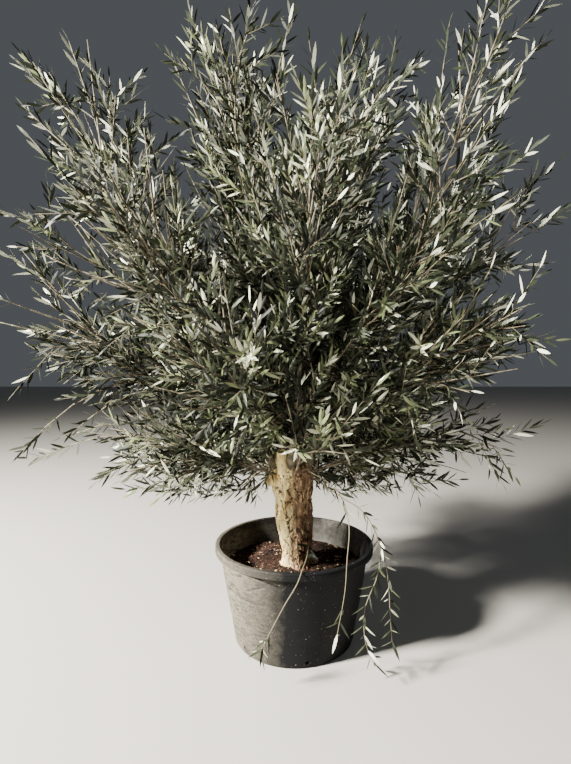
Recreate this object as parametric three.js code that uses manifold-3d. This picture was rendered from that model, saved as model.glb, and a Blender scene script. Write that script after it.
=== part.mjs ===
import * as THREE from "three";
import { mergeVertices } from "three/addons/utils/BufferGeometryUtils.js";
import Module from "manifold-3d";

// A potted olive tree: a short pollarded trunk in a black nursery pot, with a wide crown of long
// shoots. Millimetres, +Z up. The pot stands on z = 0 with its axis on the Z axis, and the front
// of the tree looks along -Y.

const GAP = 0.3; // clear space between neighbouring pieces
const SEAM = 1e-3; // corners nearer than this are one
const FINE_SLACK = 0.02; // how far a face may move where it is merged with the next
const LEAF_SLACK = 1.4; // the same for foliage

const POT = {
  height: 480,
  rimRadius: 410,
  rimBand: 34,
  rimLip: 5,
  rimThickness: 12,
  edge: 6, // how far each rounded edge is drawn in
  wallTopRadius: 384,
  wallFootRadius: 307,
  wall: 5,
  floor: 6,
  sides: 32,
};
const DRAIN = { count: 6, first: 40, height: 31, radius: 8, length: 60, sides: 6 };

const SOIL = { crown: 375, edge: 352, flatRadius: 155, rings: 3, unevenness: 9 };
const SOIL_WAVES = { broad: [47, 53], fine: [21, 34], broadShare: 0.7 };

// The trunk's girth from the soil to the crown of its swollen head, as height and radius
const TRUNK_GIRTH = [
  [375.3, 100],
  [392, 87],
  [430, 81],
  [500, 84],
  [560, 91],
  [620, 90],
  [700, 95],
  [760, 104],
  [820, 113],
  [870, 118],
  [912, 106],
  [940, 80],
  [955, 50],
];
const TRUNK = { sides: 14, foot: [22, -30], head: [-24, 0], lumps: 0.05 };
// Swellings round the trunk: how many, their depth, and how they turn on the way up
const SWELLINGS = [
  { lobes: 2, depth: 1, rise: 90, phase: 0 },
  { lobes: 3, depth: 0.8, rise: -60, phase: 1 },
  { lobes: 5, depth: 0.5, rise: 40, phase: 0 },
];
const SAWN_STUBS = [
  { from: [-52, -78, 850], to: [-64, -104, 962], radius: 24 },
  { from: [-50, -25, 806], to: [-132, -74, 812], radius: 30 },
];
const STUB = { flare: 1.3, sides: 9 };

// Each tier of limbs: where its shoots start, how far and high their tips reach (to the right,
// back, left and front), how they lean as they leave, and how their foliage branches.
const HEAD_CENTRE = [-20, 0];
const TIERS = {
  leader: {
    count: 4,
    first: 45,
    seed: 100,
    start: { radius: 44, height: 890 },
    reach: [600, 380, 600, 280],
    top: [2850, 3250, 3250, 2850],
    lean: 5,
    joint: 0.13,
    girth: [19, 10],
    twigs: 5,
    spread: 400,
    lift: 0.1,
  },
  riser: {
    count: 6,
    first: 30,
    seed: 200,
    start: { radius: 92, height: 868 },
    reach: [1200, 760, 1330, 560],
    top: [3120, 3250, 2880, 2600],
    lean: 27,
    joint: 0.27,
    girth: [21, 10],
    twigs: 5,
    spread: 420,
    lift: 0.1,
  },
  shoulder: {
    count: 6,
    first: 60,
    seed: 300,
    fork: 0.2,
    reach: [1230, 980, 1270, 680],
    top: [2220, 2350, 2150, 1950],
    lean: 42,
    joint: 0.26,
    girth: [11, 7],
    twigs: 4,
    spread: 380,
    lift: 0.05,
  },
  side: {
    count: 6,
    first: 15,
    seed: 400,
    fork: 0.1,
    reach: [1190, 1000, 1290, 680],
    top: [1620, 1550, 1700, 1400],
    lean: 62,
    joint: 0.26,
    girth: [11, 7],
    twigs: 4,
    spread: 380,
    lift: 0,
  },
  skirt: {
    count: 6,
    first: -20,
    seed: 500,
    start: { radius: 96, height: 838 },
    reach: [1050, 900, 930, 560],
    top: [1120, 950, 930, 1180],
    lean: 70,
    joint: 0,
    girth: [8, 7],
    twigs: 3,
    spread: 330,
    lift: -0.1,
  },
};
const TIP_SWAY = { bearing: 14, reach: 0.1, height: 140 };
const BEND = 0.5; // how far along its first direction a limb's bend lies, as a share of its length

// Foliage: twigs turn round their stem by the golden angle, and leaves round their twig. Each leaf
// stands for a whole leafy shoot.
const GOLDEN_TURN = THREE.MathUtils.degToRad(137.5);
const TWIG = {
  first: 0.08,
  last: 0.86,
  tiltLow: 62,
  tiltHigh: 38,
  shortest: 0.6, // the highest twig's length as a share of the lowest's
  bend: 0.5,
  girth: [5, 3.6],
  leafFrom: 0.52, // where it begins to flatten into its last leaf
  leaves: [0.26, 0.44, 0.6, 0.78],
  tested: [0.35, 0.7, 1], // places along it that need room
  spans: 1,
  sides: 3,
};
const STEM = { thinner: 0.5, endRadius: 4, leafFrom: 0.88, leaves: [0.25, 0.5, 0.72, 0.9], spans: 4 };
const LEAF = { length: 262, width: 84, thickness: 7, belly: 0.42, tilt: 45, roll: 110, sunk: 2 };
const LENGTH_SWAY = 0.15; // how much longer or shorter a twig or leaf may be, as a share
const SHORTER_TRIES = [1, 0.8, 0.6];
const HEM = [700, 720, 620, 1030]; // the crown's lowest to the right, back, left and front
const ROOM = 4; // clear space that a twig or leaf keeps to the next mass and to every limb
const TRACK_SPANS = { bough: 4, stem: 6 };
const TRUNK_ROOM = 1.1; // the trunk's reach for measuring room, as a multiple of its radius

// Which of a seed's draws each choice takes
const DRAW = { bearing: 1, reach: 2, height: 3, twigTurn: 7, stemLeaf: 30, eachTwig: 100 };
const LEAF_DRAW = { length: 10, roll: 20, turn: 50 };

// Loose hanging shoots: the basal one over the front rim, a thin one and a leafy one
const HANGING = [
  {
    name: "hanging_shoot_basal",
    seed: 611,
    radius: [6, 3.4],
    path: [
      [80, -45, 482],
      [55, -240, 478],
      [28, -398, 490],
      [6, -446, 456],
      [-50, -456, 366],
      [-124, -462, 228],
      [-150, -464, 172],
    ],
    leaves: [0.12, 0.2, 0.84, 0.9, 0.95, 0.99],
    turns: [0],
  },
  {
    name: "hanging_shoot_thin",
    seed: 622,
    radius: [7, 3.4],
    path: [
      [36, -84, 880],
      [165, -270, 836],
      [206, -370, 796],
      [228, -430, 696],
      [215, -460, 558],
      [205, -470, 437],
      [170, -480, 252],
    ],
    leaves: [0.3, 0.93, 0.98],
    turns: [0],
  },
  {
    name: "hanging_shoot_leafy",
    seed: 633,
    radius: [7, 3.4],
    path: [
      [60, -70, 850],
      [224, -190, 756],
      [315, -250, 706],
      [370, -290, 622],
      [389, -320, 547],
      [366, -345, 441],
      [307, -372, 309],
      [308, -380, 165],
      [343, -390, 80],
    ],
    leaves: [0.35, 0.5, 0.64, 0.76, 0.86, 0.96],
    turns: [0, Math.PI],
  },
];
const HANGING_LEAF = {
  length: 110,
  width: 26,
  thickness: 4,
  sunk: 1.2,
  tilt: 50,
  turn: 1.2,
  roll: 2,
  sway: 0.2,
  lengthDraw: 40,
  rollDraw: 80,
};

const LOOKS = {
  pot: { color: 0x232427, roughness: 0.55, metalness: 0 },
  soil: { color: 0x5b3a2a, roughness: 0.95, metalness: 0 },
  trunk: { color: 0x7b6142, roughness: 0.9, metalness: 0 },
  bough: { color: 0x7d7059, roughness: 0.85, metalness: 0 },
  foliage: { color: 0x76814f, roughness: 0.6, metalness: 0 },
  shoot: { color: 0x9aa06c, roughness: 0.6, metalness: 0 },
};

const UP = new THREE.Vector3(0, 0, 1);
const EAST = new THREE.Vector3(1, 0, 0);
const STEEP = 0.9; // a direction that rises more than this is taken as upright

const wasm = await Module();
wasm.setup();

function mix(a, b, share) {
  return a + (b - a) * share;
}

// A number from 0 to 1 that depends only on the seed and on which draw it is.
function chance(seed, draw) {
  let bits = Math.imul(seed, 374761393) + Math.imul(draw, 668265263);
  bits = Math.imul(bits ^ (bits >>> 13), 1274126177);
  return ((bits ^ (bits >>> 16)) >>> 0) / 4294967296;
}

// A factor from 1 - spread to 1 + spread, drawn the same way.
function swayed(seed, draw, spread) {
  return mix(1 - spread, 1 + spread, chance(seed, draw));
}

// The unit vector that leans from vertical by `lean` towards `bearing`, both in degrees.
function heading(bearing, lean) {
  const turn = THREE.MathUtils.degToRad(bearing);
  const tilt = THREE.MathUtils.degToRad(lean);
  return new THREE.Vector3(
    Math.sin(tilt) * Math.cos(turn),
    Math.sin(tilt) * Math.sin(turn),
    Math.cos(tilt),
  );
}

// A unit vector square to `along`, turned about it.
function sideways(along, turn) {
  const fixed = Math.abs(along.z) < STEEP ? UP : EAST;
  const first = fixed.clone().cross(along).normalize();
  const second = along.clone().cross(first);
  return first.multiplyScalar(Math.cos(turn)).addScaledVector(second, Math.sin(turn));
}

// The unit direction that tilts from `along` towards `side`, in degrees.
function tilted(along, side, tilt) {
  const angle = THREE.MathUtils.degToRad(tilt);
  return along
    .clone()
    .multiplyScalar(Math.cos(angle))
    .addScaledVector(side, Math.sin(angle));
}

// The value of a [place, value] table at `place`, straight between its rows.
function tableAt(table, place) {
  const next = Math.max(1, table.findIndex((row) => row[0] >= place));
  const [below, above] = [table[next - 1], table[next]];
  return mix(below[1], above[1], (place - below[0]) / (above[0] - below[0]));
}

// A three.js geometry as a solid, its seams merged and the faces closed up at its poles dropped.
function solidFrom(geometry) {
  const bare = geometry.clone();
  bare.deleteAttribute("normal");
  bare.deleteAttribute("uv");
  const merged = mergeVertices(bare, SEAM);
  const corners = merged.index.array;
  const kept = [];
  for (let i = 0; i < corners.length; i += 3) {
    const [a, b, c] = corners.slice(i, i + 3);
    if (a !== b && b !== c && c !== a) kept.push(a, b, c);
  }
  const mesh = new wasm.Mesh({
    numProp: 3,
    vertProperties: merged.attributes.position.array,
    triVerts: Uint32Array.from(kept),
  });
  return new wasm.Manifold(mesh);
}

// The largest body of a solid, without loose scraps and with any sealed hollow filled.
function largestBody(solid) {
  const bodies = solid.decompose();
  return bodies.reduce((best, body) => (body.volume() > best.volume() ? body : best));
}

// One named node: the solid's largest body, with faces merged that differ by less than `slack`.
function nodeFrom(name, solid, look, slack = FINE_SLACK) {
  const body = largestBody(largestBody(solid).simplify(slack));
  const { vertProperties, triVerts } = body.getMesh();
  const geometry = new THREE.BufferGeometry();
  geometry.setAttribute("position", new THREE.BufferAttribute(vertProperties, 3));
  geometry.setIndex(new THREE.BufferAttribute(triVerts, 1));
  geometry.computeVertexNormals();
  const mesh = new THREE.Mesh(geometry, new THREE.MeshStandardMaterial(look));
  mesh.name = name;
  return mesh;
}

// The radius of the pot's wall outside, at a height above the ground.
function wallRadius(height) {
  const share = height / (POT.height - POT.rimBand);
  return mix(POT.wallFootRadius, POT.wallTopRadius, share);
}

// A tapering tub with a flat floor and a rolled rim that is open below.
function potSolid() {
  const { height, rimRadius, rimBand, rimLip, rimThickness, edge, wall, floor } = POT;
  const bandFoot = height - rimBand;
  const hollowTop = height - rimThickness;
  const profile = [
    [0, 0],
    [wallRadius(0) - edge, 0],
    [wallRadius(0), edge],
    [wallRadius(bandFoot), bandFoot],
    [wallRadius(hollowTop), hollowTop],
    [rimRadius - rimLip, hollowTop],
    [rimRadius - rimLip, bandFoot],
    [rimRadius, bandFoot],
    [rimRadius, height - edge],
    [rimRadius - edge, height],
    [wallRadius(height) + edge - wall, height],
    [wallRadius(height) - wall, height - edge],
    [wallRadius(floor) - wall, floor],
    [0, floor],
  ];
  const points = profile.map(([radius, z]) => new THREE.Vector2(radius, z));
  const shell = new THREE.LatheGeometry(points, POT.sides).rotateX(Math.PI / 2);
  const holes = [];
  for (let k = 0; k < DRAIN.count; k++) {
    const bearing = THREE.MathUtils.degToRad(DRAIN.first + (360 * k) / DRAIN.count);
    const { radius, length, sides } = DRAIN;
    const hole = new THREE.CylinderGeometry(radius, radius, length, sides)
      .rotateZ(Math.PI / 2)
      .translate(wallRadius(DRAIN.height), 0, DRAIN.height)
      .rotateZ(bearing);
    holes.push(solidFrom(hole));
  }
  return solidFrom(shell).subtract(wasm.Manifold.union(holes));
}

// How far the soil's top stands above or below its smooth dome, at a point.
function soilUnevenness(x, y) {
  const { broad, fine, broadShare } = SOIL_WAVES;
  const swell = Math.sin(x / broad[0]) * Math.cos(y / broad[1]);
  const ripple = Math.sin(x / fine[0] - y / fine[1]);
  return SOIL.unevenness * mix(ripple, swell, broadShare);
}

// The soil fills the pot to a low dome, flat where the trunk stands on it.
function soilSolid() {
  const foot = POT.floor + GAP;
  const inset = POT.wall + 2 * GAP;
  const points = [new THREE.Vector2(0, foot)];
  points.push(new THREE.Vector2(wallRadius(foot) - inset, foot));
  for (let ring = 0; ring <= SOIL.rings; ring++) {
    const radius = mix(wallRadius(SOIL.edge) - inset, SOIL.flatRadius, ring / SOIL.rings);
    points.push(new THREE.Vector2(radius, mix(SOIL.edge, SOIL.crown, ring / SOIL.rings)));
  }
  points.push(new THREE.Vector2(0, SOIL.crown));
  const shape = new THREE.LatheGeometry(points, POT.sides).rotateX(Math.PI / 2);
  const corners = shape.attributes.position;
  for (let i = 0; i < corners.count; i++) {
    const [x, y, z] = [corners.getX(i), corners.getY(i), corners.getZ(i)];
    const inside = wallRadius(SOIL.edge) - inset - Math.hypot(x, y);
    const outside = Math.hypot(x, y) - SOIL.flatRadius;
    const rough = z > SOIL.edge - 1 && inside > 1 && outside > 1;
    if (rough) corners.setZ(i, z + soilUnevenness(x, y));
  }
  return solidFrom(shape);
}

// The trunk's axis at a height: it leans to the left and back on its way up.
function trunkAxis(height) {
  const foot = TRUNK_GIRTH[0][0];
  const top = TRUNK_GIRTH[TRUNK_GIRTH.length - 1][0];
  const share = (height - foot) / (top - foot);
  const x = mix(TRUNK.foot[0], TRUNK.head[0], share);
  const y = mix(TRUNK.foot[1], TRUNK.head[1], share);
  return new THREE.Vector3(x, y, height);
}

// The trunk's radius at a height and an angle: its girth with low flutes and swellings.
function trunkRadius(height, angle) {
  let swelling = 0;
  for (const { lobes, depth, rise, phase } of SWELLINGS) {
    swelling += depth * Math.sin(lobes * angle + height / rise + phase);
  }
  return tableAt(TRUNK_GIRTH, height) * (1 + TRUNK.lumps * swelling);
}

// The trunk with its sawn stubs, made larger all round by `grow`.
function trunkSolid(grow) {
  const steps = TRUNK_GIRTH.length - 1;
  const shape = new THREE.CylinderGeometry(1, 1, 1, TRUNK.sides, steps).rotateX(Math.PI / 2);
  const corners = shape.attributes.position;
  for (let i = 0; i < corners.count; i++) {
    const ring = Math.round((corners.getZ(i) + 0.5) * steps);
    const height = TRUNK_GIRTH[ring][0];
    const [x, y] = [corners.getX(i), corners.getY(i)];
    const axis = trunkAxis(height);
    const angle = Math.atan2(y, x);
    const girth = Math.hypot(x, y) * (trunkRadius(height, angle) + grow);
    corners.setXYZ(
      i,
      axis.x + girth * Math.cos(angle),
      axis.y + girth * Math.sin(angle),
      height + (ring === steps ? grow : 0),
    );
  }
  const stubs = SAWN_STUBS.map((stub) => {
    const from = new THREE.Vector3(...stub.from);
    const to = new THREE.Vector3(...stub.to);
    const line = straightLine(from, to.addScaledVector(to.clone().sub(from).normalize(), grow));
    const girth = [stub.radius * STUB.flare + grow, stub.radius + grow];
    return solidFrom(taperingLimb(line, 0, 1, girth, STUB.sides, 1));
  });
  return wasm.Manifold.union([solidFrom(shape), ...stubs]);
}

function straightLine(from, to) {
  return new THREE.QuadraticBezierCurve3(from, from.clone().lerp(to, 0.5), to);
}

// A closed limb along a stretch of a curve. Each ring says where it lies on the stretch and its
// half width and half thickness there.
function limbGeometry(line, begin, end, rings, sides) {
  const spans = rings.length - 1;
  const shape = new THREE.CylinderGeometry(1, 1, 1, sides, spans);
  const corners = shape.attributes.position;
  const chord = line.getPoint(end).sub(line.getPoint(begin)).normalize();
  const across = sideways(chord, 0);
  for (let i = 0; i < corners.count; i++) {
    const ring = rings[Math.round((corners.getY(i) + 0.5) * spans)];
    const share = mix(begin, end, ring.at);
    const along = line.getTangent(share);
    const thickWay = across.clone().cross(along).normalize();
    const wideWay = along.clone().cross(thickWay);
    const place = line
      .getPoint(share)
      .addScaledVector(wideWay, corners.getX(i) * ring.wide)
      .addScaledVector(thickWay, corners.getZ(i) * ring.thick);
    corners.setXYZ(i, place.x, place.y, place.z);
  }
  return shape;
}

// A round limb that tapers evenly from one radius to another.
function taperingLimb(line, begin, end, girth, sides, spans) {
  const rings = [];
  for (let k = 0; k <= spans; k++) {
    const radius = mix(girth[0], girth[1], k / spans);
    rings.push({ at: k / spans, wide: radius, thick: radius });
  }
  return limbGeometry(line, begin, end, rings, sides);
}

// A leaf of six faces: pointed at both ends, keeled below and widest at its belly.
function bladeGeometry(blade) {
  const shape = new THREE.SphereGeometry(1, 3, 2);
  const corners = shape.attributes.position;
  const thickWay = blade.way.clone().cross(blade.wideWay);
  for (let i = 0; i < corners.count; i++) {
    const y = corners.getY(i);
    const share = Math.abs(y) < 0.5 ? LEAF.belly : (1 - y) / 2;
    const place = blade.root
      .clone()
      .addScaledVector(blade.way, share * blade.length)
      .addScaledVector(blade.wideWay, (corners.getZ(i) * blade.width) / Math.sqrt(3))
      .addScaledVector(thickWay, -(corners.getX(i) * blade.thickness) / 1.5);
    corners.setXYZ(i, place.x, place.y, place.z);
  }
  return shape;
}

// The corners of a blade that have to lie in its mass's own space.
function bladeCorners(blade) {
  const belly = blade.root.clone().addScaledVector(blade.way, blade.length * LEAF.belly);
  return [
    blade.root.clone().addScaledVector(blade.way, blade.length),
    belly.clone().addScaledVector(blade.wideWay, blade.width / 2),
    belly.clone().addScaledVector(blade.wideWay, -blade.width / 2),
  ];
}

// A value given for right, back, left and front, blended for a bearing in degrees.
function allRound(values, bearing) {
  const turn = THREE.MathUtils.degToRad(bearing);
  const [c, s] = [Math.cos(turn), Math.sin(turn)];
  return (c >= 0 ? values[0] : values[2]) * c * c + (s >= 0 ? values[1] : values[3]) * s * s;
}

// The tip of a tier's shoot: on an oval round the head, with a little seeded sway.
function shootTip(tier, seed, bearing) {
  const tipBearing = bearing + TIP_SWAY.bearing * (chance(seed, DRAW.bearing) - 0.5);
  const turn = THREE.MathUtils.degToRad(tipBearing);
  const [c, s] = [Math.cos(turn), Math.sin(turn)];
  const further = 1 + TIP_SWAY.reach * (chance(seed, DRAW.reach) - 0.5);
  const higher = TIP_SWAY.height * (chance(seed, DRAW.height) - 0.5);
  return new THREE.Vector3(
    HEAD_CENTRE[0] + further * c * (c >= 0 ? tier.reach[0] : tier.reach[2]),
    HEAD_CENTRE[1] + further * s * (s >= 0 ? tier.reach[1] : tier.reach[3]),
    allRound(tier.top, tipBearing) + higher,
  );
}

// The curve of one shoot from its start to its tip, leaning as it leaves and bending outwards.
function shootLine(tier, start, tip) {
  const bearing = THREE.MathUtils.radToDeg(Math.atan2(tip.y - start.y, tip.x - start.x));
  const reach = tip.distanceTo(start) * BEND;
  const bend = start.clone().addScaledVector(heading(bearing, tier.lean), reach);
  return new THREE.QuadraticBezierCurve3(start, bend, tip);
}

// Every shoot of the crown, with the curve that its bough and its foliage share.
function allShoots() {
  const shoots = [];
  for (const [kind, tier] of Object.entries(TIERS)) {
    for (let k = 0; k < tier.count; k++) {
      const bearing = tier.first + (360 * k) / tier.count;
      const seed = tier.seed + k;
      const tip = shootTip(tier, seed, bearing);
      const parent = tier.fork
        ? shoots.find((shoot) => shoot.kind === "riser" && shoot.number === k + 1)
        : null;
      const start = parent
        ? parent.line.getPoint(tier.fork)
        : new THREE.Vector3(HEAD_CENTRE[0], HEAD_CENTRE[1], tier.start.height).addScaledVector(
            heading(bearing, 90),
            tier.start.radius,
          );
      const line = shootLine(tier, start, tip);
      shoots.push({ kind, number: k + 1, seed, tier, line, parent });
    }
  }
  return shoots;
}

const BOUGH_SPANS = { leader: 2, riser: 4, shoulder: 2, side: 2 };
const BOUGH_SIDES = { leader: 7, riser: 7, shoulder: 6, side: 6 };

function boughSolid(shoot, grow) {
  const { line, tier, kind } = shoot;
  const girth = tier.girth.map((radius) => radius + grow);
  const shape = taperingLimb(line, 0, tier.joint, girth, BOUGH_SIDES[kind], BOUGH_SPANS[kind]);
  return solidFrom(shape);
}

// Points along a limb with its radius there, for measuring the room round it.
function limbTrack(line, begin, end, girth, spans) {
  const track = [];
  for (let k = 0; k <= spans; k++) {
    const place = line.getPoint(mix(begin, end, k / spans));
    track.push({ place, radius: mix(girth[0], girth[1], k / spans) });
  }
  return track;
}

// The distance from a point to a track's surface.
function roomTo(track, point) {
  let least = Infinity;
  for (let k = 1; k < track.length; k++) {
    const [from, to] = [track[k - 1], track[k]];
    const step = to.place.clone().sub(from.place);
    const reach = point.clone().sub(from.place).dot(step) / step.lengthSq();
    const share = Math.min(1, Math.max(0, reach));
    const nearest = from.place.clone().addScaledVector(step, share);
    const radius = mix(from.radius, to.radius, share);
    least = Math.min(least, nearest.distanceTo(point) - radius);
  }
  return least;
}

// Whether a point stands above the crown's hem, whose height is given all round.
function aboveHem(point) {
  const bearing = Math.atan2(point.y - HEAD_CENTRE[1], point.x - HEAD_CENTRE[0]);
  return point.z > allRound(HEM, THREE.MathUtils.radToDeg(bearing));
}

// Whether a point is nearer to its own stem than to any other, and clear of every limb.
function hasRoom(point, own, stems, limbs) {
  const near = roomTo(stems[own], point);
  const inSpace = stems.every((stem, k) => k === own || roomTo(stem, point) - near > 2 * ROOM);
  return inSpace && aboveHem(point) && limbs.every((limb) => roomTo(limb, point) > ROOM);
}

// The way a leaf is wide, so that its flat side looks out of the crown, rolled by up to half a
// roll either way.
function flatOutwards(root, way, share) {
  const outwards = new THREE.Vector3(root.x - HEAD_CENTRE[0], root.y - HEAD_CENTRE[1], 0);
  const roll = THREE.MathUtils.degToRad(LEAF.roll * (share - 0.5));
  return way.clone().cross(outwards).normalize().applyAxisAngle(way, roll);
}

// One leaf of a twig or stem, its root sunk in the wood.
function leafOn(line, share, turn, seed, draw, scale) {
  const along = line.getTangent(share);
  const way = tilted(along, sideways(along, turn), LEAF.tilt);
  const root = line.getPoint(share).addScaledVector(way, -LEAF.sunk);
  return {
    root,
    way,
    wideWay: flatOutwards(root, way, chance(seed, draw + LEAF_DRAW.roll)),
    length: LEAF.length * scale * swayed(seed, draw + LEAF_DRAW.length, LENGTH_SWAY),
    width: LEAF.width * scale,
    thickness: LEAF.thickness,
  };
}

// The leaves along a twig or stem, each turned on by the golden angle and made shorter, or left
// out, where it has no room.
function leavesAlong(line, shares, seed, draw, clear) {
  const first = 2 * Math.PI * chance(seed, draw + LEAF_DRAW.turn);
  return shares
    .map((share, k) => {
      const turn = first + k * GOLDEN_TURN;
      const tries = SHORTER_TRIES.map((scale) => leafOn(line, share, turn, seed, draw + k, scale));
      return tries.find((leaf) => clear(bladeCorners(leaf)));
    })
    .filter(Boolean);
}

// A twig's curve from its stem: out to the side, its end lifted or drooping.
function twigLine(shoot, number, from, scale) {
  const { tier, line, seed } = shoot;
  const level = mix(TWIG.first, TWIG.last, number / (tier.twigs - 1));
  const share = mix(from, 1, level);
  const along = line.getTangent(share);
  const turn = number * GOLDEN_TURN + 2 * Math.PI * chance(seed, DRAW.twigTurn);
  const way = tilted(along, sideways(along, turn), mix(TWIG.tiltLow, TWIG.tiltHigh, level));
  const sway = swayed(seed, DRAW.eachTwig * (number + 1), LENGTH_SWAY);
  const length = tier.spread * mix(1, TWIG.shortest, level) * sway * scale;
  const start = line.getPoint(share);
  const bend = start.clone().addScaledVector(way, length * TWIG.bend);
  const end = start
    .clone()
    .addScaledVector(way, length)
    .addScaledVector(UP, tier.lift * length);
  return new THREE.QuadraticBezierCurve3(start, bend, end);
}

// Rings of a twig or stem that thins evenly and then flattens into its last leaf.
function leafEndedRings(girth, leafFrom, spans) {
  const rings = [];
  for (let k = 0; k <= spans; k++) {
    const radius = mix(girth[0], girth[1], k / spans);
    rings.push({ at: (leafFrom * k) / spans, wide: radius, thick: radius });
  }
  const belly = mix(leafFrom, 1, LEAF.belly);
  rings.push({ at: belly, wide: LEAF.width / 2, thick: LEAF.thickness / 2 });
  rings.push({ at: 1, wide: 1, thick: 1 });
  return rings;
}

// One mass of foliage: a stem, its twigs and their leaves, all within the mass's own space.
function foliageSolid(shoot, own, stems, limbs) {
  const { line, tier, seed } = shoot;
  const clear = (points) => points.every((point) => hasRoom(point, own, stems, limbs));
  const from = stemBegin(shoot);
  const stemGirth = [tier.girth[1] - STEM.thinner, STEM.endRadius];
  const stemRings = leafEndedRings(stemGirth, STEM.leafFrom, STEM.spans);
  const pieces = [limbGeometry(line, from, 1, stemRings, TWIG.sides)];
  const stemShares = STEM.leaves.map((level) => mix(from, 1, level));
  const leaves = leavesAlong(line, stemShares, seed, DRAW.stemLeaf, clear);
  for (let number = 0; number < tier.twigs; number++) {
    const tries = SHORTER_TRIES.map((scale) => twigLine(shoot, number, from, scale));
    const twig = tries.find((each) => clear(TWIG.tested.map((share) => each.getPoint(share))));
    if (!twig) continue;
    const rings = leafEndedRings(TWIG.girth, TWIG.leafFrom, TWIG.spans);
    pieces.push(limbGeometry(twig, 0, 1, rings, TWIG.sides));
    leaves.push(...leavesAlong(twig, TWIG.leaves, seed, DRAW.eachTwig * (number + 1), clear));
  }
  pieces.push(...leaves.map(bladeGeometry));
  return wasm.Manifold.union(pieces.map(solidFrom));
}

// Where along its curve a mass's stem begins, a hair clear of its bough's tip.
function stemBegin(shoot) {
  const { line, tier } = shoot;
  if (!tier.joint) return 0;
  const step = line.getPoint(tier.joint + 0.01).distanceTo(line.getPoint(tier.joint)) / 0.01;
  return tier.joint + (GAP * 1.1) / step;
}

// A leaf of a hanging shoot, its root sunk in the wood.
function hangingLeaf(path, share, turn, seed, number) {
  const { length, width, thickness, sunk, tilt, roll, sway, lengthDraw, rollDraw } = HANGING_LEAF;
  const along = path.getTangent(share);
  const way = tilted(along, sideways(along, turn), tilt);
  return {
    root: path.getPoint(share).addScaledVector(way, -sunk),
    way,
    wideWay: sideways(way, roll * chance(seed, number + rollDraw)),
    length: length * swayed(seed, number + lengthDraw, sway),
    width,
    thickness,
  };
}

// A thin shoot that hangs in the open, with a few long leaves.
function hangingSolid(shoot) {
  const path = new THREE.CatmullRomCurve3(shoot.path.map((place) => new THREE.Vector3(...place)));
  const spans = 2 * (shoot.path.length - 1);
  const pieces = [taperingLimb(path, 0, 1, shoot.radius, TWIG.sides, spans)];
  shoot.leaves.forEach((share, k) => {
    const first = HANGING_LEAF.turn * k + chance(shoot.seed, k);
    for (const turn of shoot.turns) {
      pieces.push(bladeGeometry(hangingLeaf(path, share, turn + first, shoot.seed, k)));
    }
  });
  return wasm.Manifold.union(pieces.map(solidFrom));
}

// Tracks along every bough, hanging shoot and the trunk, which foliage keeps clear of.
function limbTracks(shoots) {
  const tracks = shoots
    .filter((shoot) => shoot.tier.joint)
    .map((shoot) => limbTrack(shoot.line, 0, shoot.tier.joint, shoot.tier.girth, TRACK_SPANS.bough));
  const trunkTrack = TRUNK_GIRTH.map(([height, radius]) => ({
    place: trunkAxis(height),
    radius: radius * TRUNK_ROOM,
  }));
  tracks.push(trunkTrack);
  for (const shoot of HANGING) {
    tracks.push(
      shoot.path.map((place) => ({
        place: new THREE.Vector3(...place),
        radius: shoot.radius[0] + HANGING_LEAF.length / 2,
      })),
    );
  }
  return tracks;
}

function oliveTree() {
  const tree = new THREE.Group();
  tree.add(nodeFrom("pot", potSolid(), LOOKS.pot));
  tree.add(nodeFrom("soil", soilSolid(), LOOKS.soil));
  tree.add(nodeFrom("trunk", trunkSolid(0), LOOKS.trunk));

  const shoots = allShoots();
  const trunkRoom = trunkSolid(GAP);
  for (const shoot of shoots.filter((each) => each.tier.joint)) {
    const carrier = shoot.parent ? boughSolid(shoot.parent, GAP) : trunkRoom;
    const name = `${shoot.kind}_bough_${shoot.number}`;
    tree.add(nodeFrom(name, boughSolid(shoot, 0).subtract(carrier), LOOKS.bough));
  }

  const stems = shoots.map((shoot) =>
    limbTrack(shoot.line, stemBegin(shoot), 1, [0, 0], TRACK_SPANS.stem),
  );
  const limbs = limbTracks(shoots);
  shoots.forEach((shoot, own) => {
    const foliage = foliageSolid(shoot, own, stems, limbs);
    const name = `${shoot.kind}_foliage_${shoot.number}`;
    const clear = shoot.tier.joint ? foliage : foliage.subtract(trunkRoom);
    tree.add(nodeFrom(name, clear, LOOKS.foliage, LEAF_SLACK));
  });

  for (const shoot of HANGING) {
    const clear = hangingSolid(shoot).subtract(trunkRoom);
    tree.add(nodeFrom(shoot.name, clear, LOOKS.shoot));
  }
  return tree;
}

export default oliveTree();
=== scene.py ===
import bpy
import numpy as np
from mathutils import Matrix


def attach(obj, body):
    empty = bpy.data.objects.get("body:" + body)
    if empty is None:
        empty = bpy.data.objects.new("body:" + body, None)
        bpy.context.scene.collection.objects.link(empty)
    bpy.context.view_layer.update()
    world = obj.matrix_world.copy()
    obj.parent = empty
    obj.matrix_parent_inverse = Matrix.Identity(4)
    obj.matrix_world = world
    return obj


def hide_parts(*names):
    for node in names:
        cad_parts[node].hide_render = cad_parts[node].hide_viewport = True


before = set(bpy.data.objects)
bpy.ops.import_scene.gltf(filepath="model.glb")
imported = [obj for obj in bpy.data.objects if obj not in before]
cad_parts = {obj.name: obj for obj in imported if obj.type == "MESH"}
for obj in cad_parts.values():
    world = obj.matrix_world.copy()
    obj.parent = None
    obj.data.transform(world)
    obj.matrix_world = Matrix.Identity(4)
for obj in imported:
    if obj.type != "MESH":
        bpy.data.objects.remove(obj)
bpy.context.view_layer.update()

# A potted olive tree. Metres, +Z up, the front along -Y. The sizes here are those of the solids,
# whose shoots this script grows again by the same seeded rule and carries on to finer twigs and leaves.

UP = np.array([0.0, 0.0, 1.0])
EAST = np.array([1.0, 0.0, 0.0])
STEEP = 0.9  # a direction that rises more than this is taken as upright
FULL_TURN = 2 * np.pi

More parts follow.
